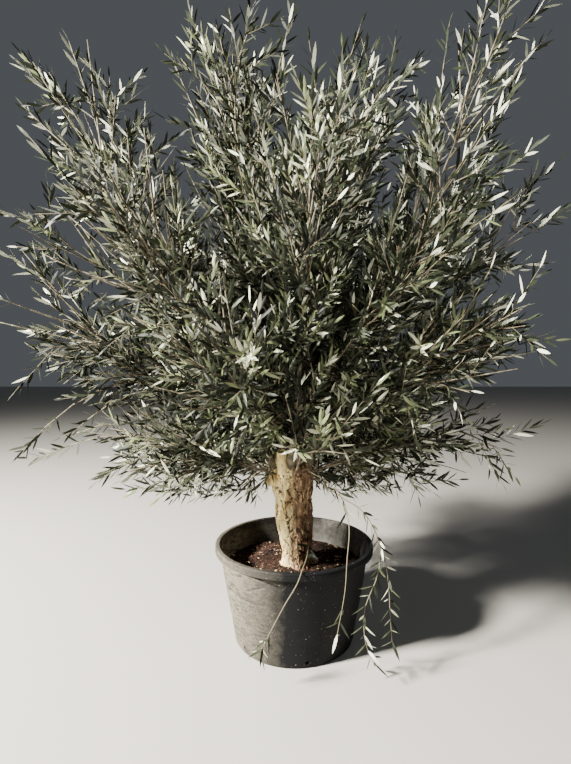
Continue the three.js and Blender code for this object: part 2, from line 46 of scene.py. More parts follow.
# The view: a level camera in front of the pot
CAMERA_PLACE = (-0.044, -2.27, 1.312)
CAMERA_LENS = 20.26
CAMERA_SENSOR = 36
# Soft lights: place, size, power and tint
LIGHT_TARGET = (0.0, 0.0, 1.2)
LIGHTS = {
    "key": ((-6.9, -3.3, 4.9), 1.0, 7900, (1.0, 0.96, 0.89)),
    "fill": ((3.5, -4.5, 2.4), 3.5, 45, (0.9, 0.95, 1.0)),
}
SKY = {"tint": (0.80, 0.87, 0.95, 1), "strength": 0.10}
FLOOR_HALF = 120.0

# The pot
POT_HEIGHT = 0.480
RIM_RADIUS = 0.410
RIM_BAND = 0.034
RIM_LIP = 0.005
RIM_THICKNESS = 0.012
POT_EDGE = 0.006
WALL_TOP = 0.384
WALL_FOOT = 0.307
WALL = 0.005
FLOOR = 0.006
WALL_RADII = (0.25, WALL_TOP + 0.004)  # the skin is wall between these
# The thin wall bulges in waves: depth, and each wave's share, lobes and rise
POT_SWAY = 0.0016
POT_WAVES = ((1, 5, 12), (0.6, 9, -7))
DRAIN = {"count": 6, "first": 40, "height": 0.031, "radius": 0.008, "length": 0.060}
DRAIN_BEARINGS = np.radians(DRAIN["first"] + 360 * np.arange(DRAIN["count"]) / DRAIN["count"])
DRAIN_RING = {"gap": 0.0045, "thickness": 0.0011}
GROOVE_DROP = 0.013  # from the pot's top to the rim's groove
RIM_BARS = {"bearings": (-101, 79), "sunk": 0.0005, "foot": 0.004, "drop": 0.017}
RIM_BAR_RADII = (0.0008, 0.0026, 0.0028, 0.0028, 0.0026, 0.0008)
# The wall's creased part, where its mesh is closer
CREASED_HEIGHTS = (0.28, 0.445)
CREASED_BEARINGS = (-156, -60)
# Creases pressed into the wall: bearing and height of both ends, depth and width
CREASES = [
    {"from": (-120.5, 0.436), "to": (-99, 0.396), "depth": 0.0080, "width": 0.006},
    {"from": (-126, 0.352), "to": (-112, 0.392), "depth": 0.0035, "width": 0.006},
    {"from": (-153, 0.301), "to": (-113, 0.299), "depth": 0.0035, "width": 0.009},
    {"from": (-84, 0.170), "to": (-62, 0.205), "depth": 0.0020, "width": 0.014},
]

# The soil
SOIL_CROWN = 0.375
SOIL_EDGE = 0.352
SOIL_FLAT = 0.155
SOIL_WAVES = {"broad": (0.047, 0.053), "fine": (0.021, 0.034), "broad_share": 0.7, "height": 0.009}
SOIL_FADES = (0.03, 0.02)  # over which the waves fade, towards the trunk and the wall
# Its crumbs: depth, cells to the metre, cells in all and seed
CRUMBS = ((0.008, 55, 400, 71), (0.005, 120, 800, 73))
SOIL_SIDE = np.array([0.03, 0.12, 0.22, 0.32])
SOIL_GAP = 0.0006
CHIPS = {"count": 2000, "from_wall": 0.022, "size": (0.0022, 0.0075), "tip": 40, "turn": 0.6}
CHIP_SPANS = {"long": (1.0, 1.2), "wide": 0.8, "thick": 0.45, "raised": 0.2}
CHIP_SHARES = (0.4, 0.9)  # brown up to the first, dark up to the second, the rest pale

# The trunk's girth from the soil to the crown of its swollen head, as height and radius
TRUNK_GIRTH = np.array([
    [0.3753, 0.100], [0.392, 0.087], [0.430, 0.081], [0.500, 0.084], [0.560, 0.091],
    [0.620, 0.090], [0.700, 0.095], [0.760, 0.104], [0.820, 0.113], [0.870, 0.118],
    [0.912, 0.106], [0.940, 0.080], [0.955, 0.050],
])
TRUNK_FOOT = np.array([0.022, -0.030])
TRUNK_HEAD = np.array([-0.024, 0.0])
TRUNK_LUMPS = 0.05
# The trunk's waves: lobes round it, depth, rise and turn
SWELLINGS = [(2, 1.0, 0.090, 0.0), (3, 0.8, -0.060, 1.0), (5, 0.5, 0.040, 0.0)]
ROOT_FLARE = {"out": 0.012, "fade": 0.030, "lobes": 4, "turn": 0.6}
# The bark's noises: cells round the trunk, cells to the metre and seed
BARK = {
    "warp": (12, 22, 31), "ridges": (36, 15, 37), "scales": (64, 60, 39),
    "flakes": (110, 150, 41), "knots": (8, 20, 43),
}
BARK_EDGES = {"ridges": 3.0, "scales": 3.4}
BARK_FADE = {"over": 0.05, "least": 0.15}  # towards the head
BARK_DEPTHS = {"knots": 0.011, "fissures": 0.0050, "cracks": 0.004, "flakes": 0.0060}
STUBS = [
    {"from": (-0.052, -0.078, 0.850), "to": (-0.064, -0.104, 0.962), "radius": 0.024},
    {"from": (-0.050, -0.025, 0.806), "to": (-0.132, -0.074, 0.812), "radius": 0.030},
]
STUB_FLARE = 1.3
STUB_ROWS = 40
STUB_COLUMNS = 60
# Rings across a stub's cut face: their radius as a share of its edge, and how far each stands out
STUB_FACE = np.array([1.0, 0.93, 0.75, 0.5, 0.25, 0.08])
STUB_SUNK = np.array([0.0, 0.0005, -0.001, -0.0025, -0.003, -0.003])
# Its bark: share, cells round it, cells along it and seed
STUB_BARK = ((1, 14, 5, 91), (0.5, 30, 11, 95))
STUB_RELIEF = 0.16

# Each tier of limbs. Reach and top are given to the right, back, left and front.
HEAD_CENTRE = np.array([-0.020, 0.0])
TIERS = {
    "leader": {
        "count": 4, "first": 45, "seed": 100, "start": (0.044, 0.890),
        "reach": (0.600, 0.380, 0.600, 0.280), "top": (2.850, 3.250, 3.250, 2.850),
        "lean": 5, "joint": 0.13, "girth": (0.019, 0.010),
        "twigs": 5, "spread": 0.400, "lift": 0.1, "finer": 34, "finer_to": 0.85,
    },
    "riser": {
        "count": 6, "first": 30, "seed": 200, "start": (0.092, 0.868),
        "reach": (1.200, 0.760, 1.330, 0.560), "top": (3.120, 3.250, 2.880, 2.600),
        "lean": 27, "joint": 0.27, "girth": (0.021, 0.010),
        "twigs": 5, "spread": 0.420, "lift": 0.1, "finer": 28, "finer_to": 0.62,
    },
    "shoulder": {
        "count": 6, "first": 60, "seed": 300, "fork": 0.2,
        "reach": (1.230, 0.980, 1.270, 0.680), "top": (2.220, 2.350, 2.150, 1.950),
        "lean": 42, "joint": 0.26, "girth": (0.011, 0.007),
        "twigs": 4, "spread": 0.380, "lift": 0.05, "finer": 28, "finer_to": 0.62,
    },
    "side": {
        "count": 6, "first": 15, "seed": 400, "fork": 0.1,
        "reach": (1.190, 1.000, 1.290, 0.680), "top": (1.620, 1.550, 1.700, 1.400),
        "lean": 62, "joint": 0.26, "girth": (0.011, 0.007),
        "twigs": 4, "spread": 0.380, "lift": 0.0, "finer": 28, "finer_to": 0.62,
    },
    "skirt": {
        "count": 6, "first": -20, "seed": 500, "start": (0.096, 0.838),
        "reach": (1.050, 0.900, 0.930, 0.560), "top": (1.120, 0.950, 0.930, 1.180),
        "lean": 70, "joint": 0.0, "girth": (0.008, 0.007),
        "twigs": 3, "spread": 0.330, "lift": -0.1, "finer": 28, "finer_to": 0.62,
    },
}
TIP_SWAY = {"bearing": 14, "reach": 0.1, "height": 0.140}
BEND = 0.5
# Boughs reach a little past their joints, with a flared foot. Their bark: depth, cells round, cells
# along, cells from one bough to the next and seed.
BOUGH_PAST = 0.004
BOUGH_FLARE = {"out": 0.45, "fade": 0.035}
BOUGH_BARK = ((0.14, 6, 16, 30, 51), (0.09, 10, 60, 80, 53))

# Twigs turn round their stem by the golden angle, and leafy shoots round their twig
GOLDEN_TURN = np.radians(137.5)
TWIG_LEVELS = (0.08, 0.86)
TWIG_TILTS = (62, 38)
TWIG_SHORTEST = 0.6
TWIG_LOWEST = 0.02
TWIG_REACH = 0.97
TWIG_BEND = 0.5
TWIG_GIRTH = (0.0050, 0.0022)
TWIG_TESTED = np.array([0.35, 0.7, 1.0])
STEM_END = 0.0030
STEM_REACH = {"back": 0.006, "to": 0.985}
ENDS_THINNER = 0.6  # twigs go on beyond those of the solids, so they end thinner
SHOOT_GIRTH = (0.0017, 0.0008)
STEM_SHOOTS_FROM = 0.88
STEM_SHOOTS = np.array([0.25, 0.5, 0.72, 0.9])
SHOOT_LENGTH = 0.262
SHOOT_WIDTH = 0.084
SHOOT_BELLY = 0.42
SHOOT_TILT = 45
SHOOT_ROLL = 110
SHOOT_SUNK = 0.002
LENGTH_SWAY = 0.15
ROOM = 0.004
HEM = (0.70, 0.72, 0.62, 1.03)
BOUGH_TRACK = 4
STEM_TRACK = 6
TRUNK_ROOM = 1.1
STEM_GAP = 0.00033

# Which of a seed's draws each choice takes
DRAW = {
    "bearing": 1, "reach": 2, "height": 3, "hanging_turn": 5, "hanging_size": 6, "twig_turn": 7,
    "heart_turn": 9, "stem_shoot": 30, "each_twig": 100,
}
SHOOT_DRAW = {"length": 10, "roll": 20, "turn": 50}
FINER_DRAW = 3000
CHIP_DRAW = {
    "reach": 701, "bearing": 702, "size": 703, "turn": 704, "tip": 705, "roll": 706, "length": 707,
    "tone": 708,
}
LEAF_DRAW = {
    "spray_tone": 801, "leaf_tone": 802, "under": 803, "turn": 811, "sway": 812, "tilt": 813,
    "roll": 814, "size": 815, "curl": 816, "lift": 821, "kept": 831,
}

# Finer twigs, between those of the solids. Every other one climbs beside its stem.
FINER_FROM = -0.12
STEM_FINER = np.linspace(0.03, 0.8, 10)
AIRY_END = 0.75
CLIMBING_LEVELS = (0.05, 0.72)
# Kinds of twigs: where their leafy shoots stand and the size of those, the shorter tries where there's
# no room, the stretches that are leafy themselves, how much longer a twig grows, and its own tilt
GROWTH = {
    "first": {
        "shoots": (0.26, 0.44, 0.6, 0.78), "size": 1, "tries": (1, 0.8, 0.6), "leafy": [(0.52, 1)],
        "stretch": 1,
    },
    "side": {
        "shoots": (0.15, 0.27, 0.39, 0.51, 0.63, 0.76), "size": 0.85, "tries": (1, 0.8, 0.6, 0.4),
        "leafy": [(0.76, 1)], "stretch": 1,
    },
    "climbing": {
        "shoots": (0.25, 0.45, 0.65), "size": 0.5, "tries": (1, 0.8, 0.6, 0.4),
        "leafy": [(0.65, 1), (0.2, 0.65)], "stretch": 1.6, "tilt": 24,
    },
}

# Twigs on the boughs themselves, which fill the crown's heart: shares of the bough's length
HEART_SHARES = (0.3, 0.5, 0.7, 0.9)
HEART = {"spread": 0.8, "tilt": 52, "rise": 0.1}

# Where the photo shows sky through a mass, only this share of its finer growth stands
FULLNESS = {("riser", 1): 0.5, ("riser", 3): 0.75, ("shoulder", 3): 0.65, ("shoulder", 6): 0.65}

# Openings to the sky, as the camera sees them: slanted ovals. Slopes across and up to the middle, half
# of the width and height, and lean. No finer growth stands in them.
OPENINGS = [
    (0.422, 0.595, 0.047, 0.174, 0.35),
    (-0.455, 0.277, 0.047, 0.093, 0.0),
    (-0.576, 0.165, 0.051, 0.065, 0.0),
    (-0.297, 0.386, 0.021, 0.105, -0.3),
    (-0.169, 0.326, 0.019, 0.033, 0.0),
    (0.066, 0.437, 0.014, 0.035, 0.0),
    (0.131, 0.653, 0.023, 0.084, -0.5),
    (0.327, 0.430, 0.033, 0.023, 0.0),
    (0.522, 0.335, 0.051, 0.033, 0.0),
    (-0.413, 0.665, 0.033, 0.093, 0.1),
    (-0.055, 0.828, 0.042, 0.070, 0.0),
]
OPENING_TESTED = (0.3, 0.65, 1.0)

# Sparse loose shoots by the stem that they leave: the share along it, and the tip
LOOSE_SHOOTS = {
    ("skirt", 5): [
        (0.50, -1.298, -0.200, 0.893), (0.42, -0.833, -0.220, 0.888), (0.55, -0.814, -0.270, 0.828),
    ],
    ("side", 4): [
        (0.35, -1.150, -0.170, 0.990), (0.50, -1.070, -0.120, 1.277), (0.42, -1.433, -0.070, 0.900),
    ],
    ("skirt", 4): [(0.60, -1.220, 0.120, 1.020)],
    ("leader", 3): [
        (0.55, -0.520, -0.170, 3.150), (0.42, -0.600, -0.170, 2.894), (0.25, -0.510, -0.170, 2.540),
        (0.32, -0.437, -0.200, 2.370), (0.22, -0.535, -0.170, 2.370),
    ],
    ("leader", 4): [
        (0.40, 0.491, -0.170, 2.587), (0.30, 0.457, -0.170, 2.391),
    ],
    ("riser", 6): [
        (0.60, 1.028, -0.270, 2.675), (0.75, 1.177, -0.270, 2.920),
    ],
    ("leader", 2): [(0.60, -0.004, 0.030, 3.330)],
    ("riser", 1): [(0.70, 0.863, 0.100, 3.313)],
    ("riser", 4): [(0.75, -1.106, -0.170, 2.987)],
}
# How far they arch, and where their two stretches of leaves begin
LOOSE_RISE = {"skirt": 0.3, "side": 0.3, "leader": 0.05, "riser": 0.05}
LOOSE_BEND = 0.55
LOOSE_LEAVES_FROM = (0.28, 0.66)

# Leaves, in opposite pairs along each leafy shoot
LEAF_LENGTH = 0.062
LEAF_WIDTH = 0.0118
LEAF_RIDGE = 0.0014
PAIR_STEP = 0.0147
# Towards the tip of a mass its leaves are fewer and larger, and its finer growth thins out
AIRY = {"reach": 1.05, "wider": 1.4, "larger": 0.26, "thinner": 0.5}
BARE_SHARE = 0.10
LEAFLESS_END = 0.022
LEAF_TILTS = (50, 18)
LEAF_TURNED = 1.1
LEAF_ROLL = 70
# A leaf's size at the ends of its shoot, and how much larger it is in the middle
LEAF_SIZES = (0.76, 0.34)
LEAF_SWAY = {"turn": 0.9, "tilt": 24, "size": 0.18}
# Curl from the first value, up to the second more, and the part of the width that follows the size
LEAF_HABIT = {"curl": (0.02, 0.12), "width": 0.7}
TIP_LEAF = {"share": 0.94, "tilt": 6}
SIDE_SHOOTS = {"share": 0.24, "apart": 0.05, "tilt": 36, "length": 0.55}
LIFTED = (0.02, 0.22)
SPRAYS_TO_A_PIECE = 40000  # each piece's leaves draw their chances from numbers of its own

# Loose hanging shoots: their paths, and where their leaves stand
HANGING = {
    "basal": {
        "seed": 611,
        "radius": (0.0032, 0.0013),
        "path": [
            (0.080, -0.045, 0.482), (0.055, -0.240, 0.478), (0.028, -0.398, 0.490),
            (0.006, -0.446, 0.456), (-0.050, -0.456, 0.366), (-0.124, -0.462, 0.228),
            (-0.150, -0.464, 0.172),
        ],
        "pairs": [(0.04, 0.16, 4), (0.80, 0.99, 8)],
    },
    "thin": {
        "seed": 622,
        "radius": (0.0030, 0.0013),
        "path": [
            (0.036, -0.084, 0.880), (0.165, -0.270, 0.836), (0.206, -0.370, 0.796),
            (0.228, -0.430, 0.696), (0.215, -0.460, 0.558), (0.205, -0.470, 0.437),
            (0.170, -0.480, 0.252),
        ],
        "pairs": [(0.12, 0.42, 5), (0.90, 0.99, 3)],
    },
    "leafy": {
        "seed": 633,
        "radius": (0.0032, 0.0013),
        "path": [
            (0.060, -0.070, 0.850), (0.224, -0.190, 0.756), (0.315, -0.250, 0.706),
            (0.370, -0.290, 0.622), (0.389, -0.320, 0.547), (0.366, -0.345, 0.441),
            (0.307, -0.372, 0.309), (0.308, -0.380, 0.165), (0.343, -0.390, 0.080),
        ],
        "pairs": [(0.22, 0.99, 22)],
    },
    "forked": {
        "seed": 644,
        "radius": (0.0024, 0.0012),
        "path": [
            (0.372, -0.296, 0.612), (0.404, -0.318, 0.520), (0.420, -0.335, 0.400),
            (0.424, -0.345, 0.280), (0.432, -0.350, 0.150),
        ],
        "pairs": [(0.06, 0.99, 11)],
    },
}
HANGING_ROOM = 0.055
HANGING_PALER = 0.35
# Their leaves' size, from the first value up to the second more, and tilt, with how far it swings
HANGING_LEAVES = {
    "size": (0.95, 0.45), "tilt": (48, 20), "turn": 0.8, "curl": (0.05, 0.1), "width": 0.5,
    "first_number": 900000, "to_a_tone": 6,
}
HANGING_SOLIDS = {"basal": 0.006, "thin": 0.007, "leafy": 0.007}

# Leaf finishes: six-digit colour, roughness and specular. The two near-black upper tones are painted shade
# and the palest is painted sunlight, beside the leaves' own greens.
LEAF_UPPERS = (
    (0x0A0D07, 0.50, 0.15), (0x151910, 0.50, 0.15), (0x2B3121, 0.48, 0.22),
    (0x606947, 0.38, 0.5), (0xBCBFA4, 0.36, 0.5),
)
LEAF_UNDERS = ((0x272D1F, 0.62, 0.15), (0xB6BBA7, 0.62, 0.3))
# Leaves up to each share have one upper tone, and the rest the last. Up to DARK_UNDERS their underside
# is the darker one, painted shade on the silvery underside. A leaf's tone is its leafy shoot's for the most
# part.
UPPER_SHARES = (0.27, 0.50, 0.70, 0.85)
DARK_UNDERS = 0.68
SPRAY_TONE = 0.72


def unit(vectors):
    """Each vector over its own length."""
    return vectors / np.linalg.norm(vectors, axis=-1, keepdims=True)


def mix(a, b, share):
    """The value `share` of the way from a to b."""
    return a + (b - a) * share


HASH_SEED = np.uint64(374761393)
HASH_DRAW = np.uint64(668265263)
HASH_STIR = np.uint64(1274126177)
HASH_SPAN = np.uint64(4294967295)


def chance(seed, draw):
    """Numbers from 0 to 1 that depend only on seed and draw: seed and draw times two large numbers,
    summed, stirred by shifts and a third large number, and cut to 32 bits."""
    seed = np.atleast_1d(np.asarray(seed)).astype(np.uint64)
    draw = np.atleast_1d(np.asarray(draw)).astype(np.uint64)
    bits = (seed * HASH_SEED + draw * HASH_DRAW) & HASH_SPAN
    bits = ((bits ^ (bits >> np.uint64(13))) * HASH_STIR) & HASH_SPAN
    return (bits ^ (bits >> np.uint64(16))).astype(float) / 4294967296


def swayed(seed, draw, spread):
    """Factors from 1 - spread to 1 + spread."""
    return mix(1 - spread, 1 + spread, chance(seed, draw))


def swing(seed, draw, spread):
    """Numbers from -spread / 2 to spread / 2."""
    return spread * (chance(seed, draw) - 0.5)


def lattice_noise(across, up, cells, seed):
    """Smooth noise from 0 to 1: seeded values on a lattice that closes on itself after `cells` across,
    blended by 3t^2 - 2t^3 both ways."""
    column = np.floor(across).astype(int)
    row = np.floor(up).astype(int)
    right = across - column
    above = up - row
    right = right * right * (3 - 2 * right)
    above = above * above * (3 - 2 * above)

    def value(i, j):
        return chance(seed + i % cells, 1000 + j)

    low = mix(value(column, row), value(column + 1, row), right)
    high = mix(value(column, row + 1), value(column + 1, row + 1), right)
    return mix(low, high, above)


def around(radius, bearing, height):
    """Points round the Z axis: radius cos(bearing), radius sin(bearing), height."""
    return np.stack(np.broadcast_arrays(radius * np.cos(bearing), radius * np.sin(bearing), height), -1)


def heading(bearing, lean):
    """The unit vector that leans from vertical by `lean` towards `bearing`, in degrees."""
    tilt = np.radians(lean)
    return around(np.sin(tilt), np.radians(bearing), np.cos(tilt))


def sideways(along, turn):
    """Unit vectors square to `along`, turned about it: first cos(turn) + second sin(turn)."""
    fixed = np.where(np.abs(along[..., 2:3]) < STEEP, UP, EAST)
    first = unit(np.cross(fixed, along))
    second = np.cross(along, first)
    turn = np.asarray(turn)[..., None]
    return first * np.cos(turn) + second * np.sin(turn)


def tilted(along, side, tilt):
    """Unit directions that tilt from `along` towards `side`, in degrees."""
    angle = np.radians(np.asarray(tilt, dtype=float))[..., None]
    return along * np.cos(angle) + side * np.sin(angle)


def line_at(line, share):
    """Points of a three-point curve: (1-t)^2 a + 2t(1-t) b + t^2 c."""
    t = np.asarray(share, dtype=float)[..., None]
    return (1 - t) ** 2 * line[0] + 2 * t * (1 - t) * line[1] + t ** 2 * line[2]


def line_way(line, share):
    """Unit directions of a three-point curve: (1-t)(b-a) + t(c-b)."""
    t = np.asarray(share, dtype=float)[..., None]
    return unit((1 - t) * (line[1] - line[0]) + t * (line[2] - line[1]))


def threaded(path, share):
    """Points of a smooth curve through every point of a path. Each stretch is a cubic whose slopes come
    from its neighbours, spaced by the square root of their distances."""
    path = np.asarray(path, dtype=float)
    ends = np.concatenate([[2 * path[0] - path[1]], path, [2 * path[-1] - path[-2]]])
    place = np.asarray(share, dtype=float) * (len(path) - 1)
    stretch = np.minimum(place.astype(int), len(path) - 2)
    t = (place - stretch)[..., None]
    a, b, c, d = (ends[stretch + k] for k in range(4))
    before, here, after = (
        np.linalg.norm(q - p, axis=-1, keepdims=True) ** 0.5 for p, q in ((a, b), (b, c), (c, d))
    )
    leave = here * ((b - a) / before - (c - a) / (before + here) + (c - b) / here)
    reach = here * ((c - b) / here - (d - b) / (here + after) + (d - c) / after)
    curve = (2 * b - 2 * c + leave + reach) * t ** 3
    curve += (-3 * b + 3 * c - 2 * leave - reach) * t ** 2
    return curve + leave * t + b


def placed(name, data):
    """A new object of the scene that holds this data."""
    made = bpy.data.objects.new(name, data)
    bpy.context.scene.collection.objects.link(made)
    return made


def make_piece(name, corners, faces, finishes, slot, kinds=None, smooth=True):
    """A piece at the origin from whole arrays: corners (n, 3) and triangles (m, 3). `kinds` deals the
    finishes out face by face."""
    mesh = bpy.data.meshes.new(name)
    mesh.vertices.add(len(corners))
    mesh.vertices.foreach_set("co", np.ravel(corners).astype(np.float32))
    mesh.loops.add(faces.size)
    mesh.loops.foreach_set("vertex_index", np.ravel(faces).astype(np.int32))
    mesh.polygons.add(len(faces))
    mesh.polygons.foreach_set("loop_start", np.arange(0, faces.size, 3, dtype=np.int32))
    for finish in finishes:
        mesh.materials.append(finish)
    if kinds is not None:
        mesh.polygons.foreach_set("material_index", np.asarray(kinds).astype(np.int32))
    mesh.polygons.foreach_set("use_smooth", np.full(len(faces), smooth))
    mesh.update(calc_edges=True)
    mesh.validate()
    piece = placed(name, mesh)
    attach(piece, "root")
    return piece


def keep_values(piece, name, values):
    """Keeps one number for each corner, for the piece's finish to read."""
    attribute = piece.data.attributes.new(name, "FLOAT", "POINT")
    attribute.data.foreach_set("value", np.ravel(values).astype(np.float32))


def grid_cells(rows, columns, closed=False):
    """The four corner numbers of each cell of a grid that closes across, and if `closed` down too."""
    i, j = np.meshgrid(np.arange(rows if closed else rows - 1), np.arange(columns), indexing="ij")
    down, across = (i + 1) % rows, (j + 1) % columns
    return i * columns + j, i * columns + across, down * columns + across, down * columns + j


def repeated(triangles, count, corners):
    """The triangles of `count` like surfaces that follow each other, each of so many corners."""
    return (triangles[None] + corners * np.arange(count)[:, None, None]).reshape(-1, 3)


def round_surface(rings, starts, ends):
    """Closed round surfaces from rings (count, rows, columns, 3) that turn anticlockwise about the way
    they follow, with one corner to close each end. Returns corners and triangles."""
    count, rows, columns = rings.shape[:3]
    a, b, c, d = grid_cells(rows, columns)
    j = np.arange(columns)
    k = (j + 1) % columns
    first = np.full(columns, rows * columns)
    top = (rows - 1) * columns
    closed = np.concatenate([
        np.stack([a, b, c, a, c, d], -1).reshape(-1, 3),
        np.stack([k, j, first], -1),
        np.stack([top + j, top + k, first + 1], -1),
    ])
    corners = np.concatenate([rings.reshape(count, -1, 3), np.stack([starts, ends], 1)], 1)
    return corners.reshape(-1, 3), repeated(closed, count, rows * columns + 2)


def ring_surface(rings):
    """Closed hoops from grids (count, rows, columns, 3) that close on themselves both ways."""
    count, rows, columns = rings.shape[:3]
    a, b, c, d = grid_cells(rows, columns, closed=True)
    hoop = np.stack([a, c, b, a, d, c], -1).reshape(-1, 3)
    return rings.reshape(-1, 3), repeated(hoop, count, rows * columns)


def limbs(paths, radii, sides, relief=1.0):
    """Closed limbs along paths (count, rows, 3): each ring's corners stand at the path's point plus
    radius times (u cos a + v sin a), with u and v square to the path."""
    ways = unit(np.gradient(paths, axis=1))
    chords = unit(paths[:, -1] - paths[:, 0])
    u = sideways(chords, 0)[:, None, :]
    u = unit(u - ways * np.sum(u * ways, axis=-1, keepdims=True))
    v = np.cross(ways, u)
    a = FULL_TURN * np.arange(sides) / sides
    round_way = u[:, :, None] * np.cos(a)[:, None] + v[:, :, None] * np.sin(a)[:, None]
    girth = (radii[:, :, None] * relief)[..., None]
    rings = paths[:, :, None] + girth * round_way
    return round_surface(rings, paths[:, 0], paths[:, -1])


def joined(meshes):
    """Several (corners, faces) as one."""
    shifts = np.cumsum([0] + [len(corners) for corners, _ in meshes[:-1]])
    corners = np.concatenate([corners for corners, _ in meshes])
    faces = np.concatenate([faces + shift for (_, faces), shift in zip(meshes, shifts)])
    return corners, faces


# Finishes

def colour(code):
    """A six-digit colour as the shader takes it: ((c + 0.055) / 1.055)^2.4."""
    parts = np.array([code >> 16 & 255, code >> 8 & 255, code & 255]) / 255
    return (*(float(part) for part in ((parts + 0.055) / 1.055) ** 2.4), 1.0)


def add_node(tree, kind, values=None, **settings):
    """A node with its settings, each of its inputs in `values` set or linked."""
    made = tree.nodes.new(kind)
    for key, value in settings.items():
        setattr(made, key, value)
    for socket, value in (values or {}).items():
        if isinstance(value, bpy.types.NodeSocket):
            tree.links.new(value, made.inputs[socket])
        else:
            made.inputs[socket].default_value = value
    return made


def new_group(name, inputs, output):
    """An empty node group with named number inputs after its place, and one output."""
    tree = bpy.data.node_groups.new(name, "ShaderNodeTree")
    tree.interface.new_socket("Place", in_out="INPUT", socket_type="NodeSocketVector")
    for label, value in inputs.items():
        socket = tree.interface.new_socket(label, in_out="INPUT", socket_type="NodeSocketFloat")
        socket.default_value = value
    tree.interface.new_socket(output, in_out="OUTPUT", socket_type="NodeSocketFloat")
    return tree, tree.nodes.new("NodeGroupInput").outputs, tree.nodes.new("NodeGroupOutput").inputs


def mottle_group():
    """Soft patches: noise, sharpened between two levels."""
    tree, given, result = new_group(
        "mottle", {"Scale": 10, "Detail": 4, "Low": 0.4, "High": 0.6}, "Mask"
    )
    noise = add_node(tree, "ShaderNodeTexNoise", {
        "Vector": given["Place"], "Scale": given["Scale"], "Detail": given["Detail"],
    })
    level = add_node(tree, "ShaderNodeMapRange", {
        "Value": noise.outputs["Fac"], "From Min": given["Low"], "From Max": given["High"],
    }, interpolation_type="SMOOTHSTEP")
    tree.links.new(level.outputs["Result"], result["Mask"])
    return tree


def maths(tree, operation, *values, **settings):
    """The outcome of a sum on numbers or sockets."""
    settings["operation"] = operation
    return add_node(tree, "ShaderNodeMath", dict(enumerate(values)), **settings).outputs[0]


def roughen_group():
    """Height of a rough surface: coarse noise plus a share of noise four times as fine."""
    tree, given, result = new_group("roughen", {"Scale": 60, "Fine": 0.5}, "Height")
    coarse = add_node(tree, "ShaderNodeTexNoise", {"Vector": given["Place"], "Scale": given["Scale"]})
    finer = maths(tree, "MULTIPLY", given["Scale"], 4.0)
    fine = add_node(tree, "ShaderNodeTexNoise", {"Vector": given["Place"], "Scale": finer, "Detail": 6.0})
    total = maths(tree, "MULTIPLY_ADD", fine.outputs["Fac"], given["Fine"], coarse.outputs["Fac"])
    tree.links.new(total, result["Height"])
    return tree


MOTTLE = mottle_group()
ROUGHEN = roughen_group()


def new_finish(name, base, roughness, specular=0.5):
    """A finish with its shader's own values."""
    finish = bpy.data.materials.new(name)
    finish.use_nodes = True
    shader = finish.node_tree.nodes["Principled BSDF"]
    shader.inputs["Base Color"].default_value = colour(base)
    shader.inputs["Roughness"].default_value = roughness
    shader.inputs["Specular IOR Level"].default_value = specular
    finish.diffuse_color = colour(base)
    return finish


def object_place(tree, stretch=(1, 1, 1)):
    """The place on the piece, stretched."""
    place = add_node(tree, "ShaderNodeTexCoord").outputs["Object"]
    return add_node(tree, "ShaderNodeMapping", {"Vector": place, "Scale": stretch}).outputs["Vector"]


def patterned(name, base, roughness, specular):
    """A new finish with the nodes' tree for its patterns and the place on the piece."""
    finish = new_finish(name, base, roughness, specular)
    return finish, finish.node_tree, object_place(finish.node_tree)


def kept_values(tree, name):
    """The number that each corner of the piece keeps under this name."""
    return add_node(tree, "ShaderNodeAttribute", attribute_name=name).outputs["Fac"]


def mottle(tree, place, scale, low, high, detail=4.0):
    """A mask of soft patches from the mottle group."""
    given = {"Place": place, "Scale": scale, "Detail": detail, "Low": low, "High": high}
    return add_node(tree, "ShaderNodeGroup", given, node_tree=MOTTLE).outputs["Mask"]


def roughen(tree, place, scale, depth, fine=0.5):
    """A bumped normal from the roughen group."""
    given = {"Place": place, "Scale": scale, "Fine": fine}
    height = add_node(tree, "ShaderNodeGroup", given, node_tree=ROUGHEN).outputs["Height"]
    return add_node(tree, "ShaderNodeBump", {"Height": height, "Distance": depth}).outputs["Normal"]


def painted(tree, mask, under, over):
    """The colour `under`, with the colour `over` where the mask is."""
    paints = [paint if isinstance(paint, bpy.types.NodeSocket) else colour(paint) for paint in (under, over)]
    given = {0: mask, 6: paints[0], 7: paints[1]}
    return add_node(tree, "ShaderNodeMix", given, data_type="RGBA").outputs[2]


def coated(tree, base, *coats):
    """A base colour with coats on it, each given by its mask and its colour."""
    for mask, paint in coats:
        base = painted(tree, mask, base, paint)
    return base


def times(tree, first, second):
    """Two numbers multiplied, kept between 0 and 1."""
    return maths(tree, "MULTIPLY", first, second, use_clamp=True)


def ranged(tree, value, low, high, new_low=0.0, new_high=1.0):
    """A number moved from one range to another."""
    made = add_node(tree, "ShaderNodeMapRange", {
        "Value": value, "From Min": low, "From Max": high, "To Min": new_low, "To Max": new_high,
    })
    return made.outputs["Result"]


def patchy(tree, place, scale, low, high, thin, detail=4.0):
    """A mask of soft patches that is thin between them, not bare."""
    return ranged(tree, mottle(tree, place, scale, low, high, detail), 0.0, 1.0, thin, 1.0)


def frayed(tree, place, value, scale, reach):
    """A number moved to and fro by up to half of `reach` in soft patches, so that its edges fray."""
    patches = ranged(tree, mottle(tree, place, scale, 0.3, 0.7), 0.0, 1.0, -reach / 2, reach / 2)
    return maths(tree, "ADD", value, patches)


def finish_shader(finish, base, roughness=None, normal=None):
    """Links a finish's patterns to its shader."""
    tree = finish.node_tree
    shader = tree.nodes["Principled BSDF"]
    tree.links.new(base, shader.inputs["Base Color"])
    if roughness is not None:
        tree.links.new(roughness, shader.inputs["Roughness"])
    if normal is not None:
        tree.links.new(normal, shader.inputs["Normal"])
    return finish


